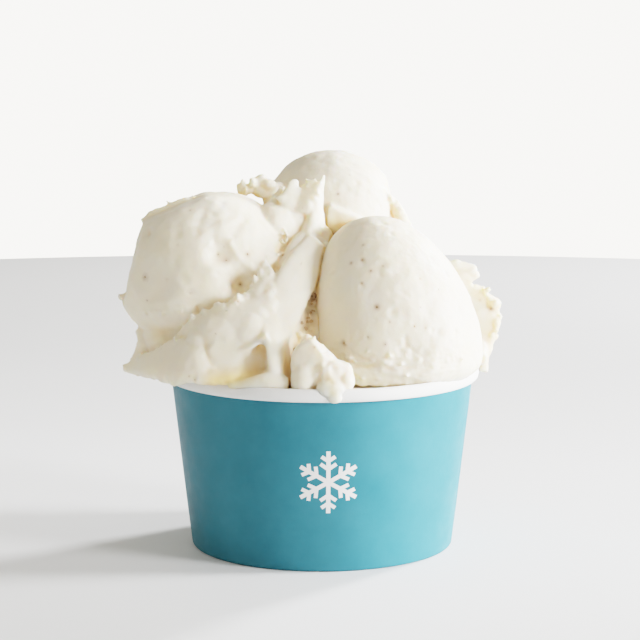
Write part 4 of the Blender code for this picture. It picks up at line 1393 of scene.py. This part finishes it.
landed = []
for across_x, up_z, size, dark in SEEN:
    landed.append((drop((across_x, FRONT, up_z), BACKWARDS), size, dark))
for _ in range(CREVICE_FLECKS):
    spot = spline(CREVICE_FLOOR, draw.random())
    spot += Vector([draw.gauss(0.0, CREVICE_SPREAD) for _ in range(3)])
    size = draw.uniform(*CREVICE_SIZES)
    dark = draw.uniform(*CREVICE_DARKNESS)
    landed.append((drop((spot.x, spot.y - CREVICE_START, spot.z), BACKWARDS), size, dark))
for _ in range(STREWN):
    angle = draw.uniform(0.0, math.tau)
    start = Vector((*(polar(STREWN_FROM, angle)), draw.uniform(*STREWN_HEIGHTS)))
    target = Vector([draw.uniform(*span) for span in STREWN_TARGETS])
    size = 0.12 + 0.5 * draw.random() ** 4
    landed.append((drop(start, target - start), size, draw.uniform(*STREWN_DARKNESS)))
landed = [(*spot, size, dark) for spot, size, dark in landed if spot]
print("flecks", len(landed))

# %% Stain the skin round each fleck
STAIN_SPREAD = 1.25

for obj in SCOOPS.values():
    points, _ = to_arrays(obj)
    stain = np.zeros(len(points))
    for place, _, size, dark in landed:
        near = np.linalg.norm(points - np.array(place), axis=1)
        stain = np.maximum(stain, dark * np.exp(-((near / (size * STAIN_SPREAD)) ** 2)))
    store(obj, "stain", stain)

# %% Make the grains that stick out
STICKS_OUT = 0.35  # darkness from which a fleck has a grain
GRAIN_SIZE = 0.45  # of its stain
GRAIN_STRETCH = (0.6, 1.3)
GRAIN_CORNERS = (0.75, 1.2)

sticking = [fleck for fleck in landed if fleck[3] >= STICKS_OUT]
bm = bmesh.new()
for place, normal, size, _ in sticking:
    grain = bmesh.ops.create_icosphere(bm, subdivisions=1, radius=1.0)["verts"]
    flat = size * GRAIN_SIZE
    stretch = (flat * draw.uniform(*GRAIN_STRETCH), flat * draw.uniform(*GRAIN_STRETCH), flat * 0.5)
    bmesh.ops.scale(bm, vec=stretch, verts=grain)
    for vert in grain:
        vert.co *= draw.uniform(*GRAIN_CORNERS)
    spin = Matrix.Rotation(draw.uniform(0.0, math.tau), 3, "Z")
    lie = normal.to_track_quat("Z", "Y").to_matrix()
    bmesh.ops.rotate(bm, matrix=lie @ spin, verts=grain)
    bmesh.ops.translate(bm, vec=place, verts=grain)
flecks = mesh_object("flecks", bm)
fleck_paint, tree, shader = principled("toasted flecks", (0.34, 0.20, 0.10), 0.6)
shade = ramp(tree, object_noise(tree, 260.0), 0.35, 0.65)
tree.links.new(mixed(tree, shade, (0.42, 0.25, 0.12), (0.22, 0.15, 0.09)), shader.inputs["Base Color"])
flecks.data.materials.append(fleck_paint)
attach(flecks, "root")
print("grains", len(sticking))

# %% [markdown]
# The gelato's finish
#
# Cream-white gelato is dense but lets light in for a millimetre or two, which softens every edge, so the
# shader scatters light under the surface, red the furthest. Its colour isn't one white: fat and ice part
# into faint cloudy patches, some of them duller, and the flecks stain it. The hollows, crevices and thin
# places get a painted warm glow as well, standing in for light bounced between cream walls and shining
# through. The surface is satin where the spade passed and nearly matte where it tore, with a fine frosty
# grain.

# %% Gelato material
CREAM = (0.950, 0.824, 0.638)
CREAM_COOL = (0.936, 0.828, 0.676)
CREAM_WARM = (0.955, 0.810, 0.588)
SMUDGE = (0.82, 0.73, 0.58)
# AMBER is the colour of the painted glow of bounced and shone-through light
AMBER = (0.88, 0.58, 0.20)
TOASTED = (0.40, 0.25, 0.13)
PATCH_WAVES = 90.0  # in a metre, as for the next four
FAT_WAVES = 320.0
SMUDGE_WAVES = 170.0
SATIN_WAVES = 420.0
FROST_WAVES = 1100.0
FROST_RELIEF = 0.12 * MM
LIGHT_DEPTH = 3.2 * MM
WARMEST = 0.85
BED_SHARP = math.radians(60)


def stored(tree, name):
    """A number that the vertices carry."""
    return add(tree, "ShaderNodeAttribute", {"attribute_name": name}).outputs["Fac"]


gelato, tree, shader = principled("cream gelato", CREAM, 0.5, Subsurface_Weight=0.7, Specular_IOR_Level=0.4)
shader.inputs["Subsurface Scale"].default_value = LIGHT_DEPTH
shader.inputs["Subsurface Radius"].default_value = (1.0, 0.78, 0.5)
patch = ramp(tree, object_noise(tree, PATCH_WAVES, 4.0, 0.6), 0.32, 0.70)
fat = ramp(tree, object_noise(tree, FAT_WAVES, 3.0, 0.6), 0.40, 0.75, 0.0, 0.6)
smudge = ramp(tree, object_noise(tree, SMUDGE_WAVES, 4.0, 0.65), 0.56, 0.70, 0.0, 0.4)
cloudy = mixed(tree, fat, mixed(tree, patch, CREAM_COOL, CREAM_WARM), CREAM)
# painted light: a warm amber glow mixed into the colour where the stored number is high, for hollows,
# crevices and thin places
painted_glow = ramp(tree, stored(tree, "hollow"), 0.12, 1.0, 0.0, WARMEST)
with_painted_glow = mixed(tree, painted_glow, mixed(tree, smudge, cloudy, SMUDGE), AMBER)
stained = mixed(tree, stored(tree, "stain"), with_painted_glow, TOASTED)
tree.links.new(stained, shader.inputs["Base Color"])
gloss = ramp(tree, object_noise(tree, SATIN_WAVES, 4.0, 0.65), 0.3, 0.7, 0.40, 0.62)
tree.links.new(gloss, shader.inputs["Roughness"])
bump(tree, shader, object_noise(tree, FROST_WAVES, 4.0, 0.7), FROST_RELIEF, 0.35)

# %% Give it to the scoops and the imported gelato, and bring them into the model's frame
for node, obj in SLOTTED.items():
    obj.data.transform(Matrix.Translation(AXIS) @ Matrix.Scale(MM, 4))
    obj.data.materials.clear()
    obj.data.materials.append(gelato)
    obj.data.shade_smooth()
    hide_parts(node)
    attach(obj, "root")
    print(obj.name, "stands for", node)
gelato_bed.data.set_sharp_from_angle(angle=BED_SHARP)
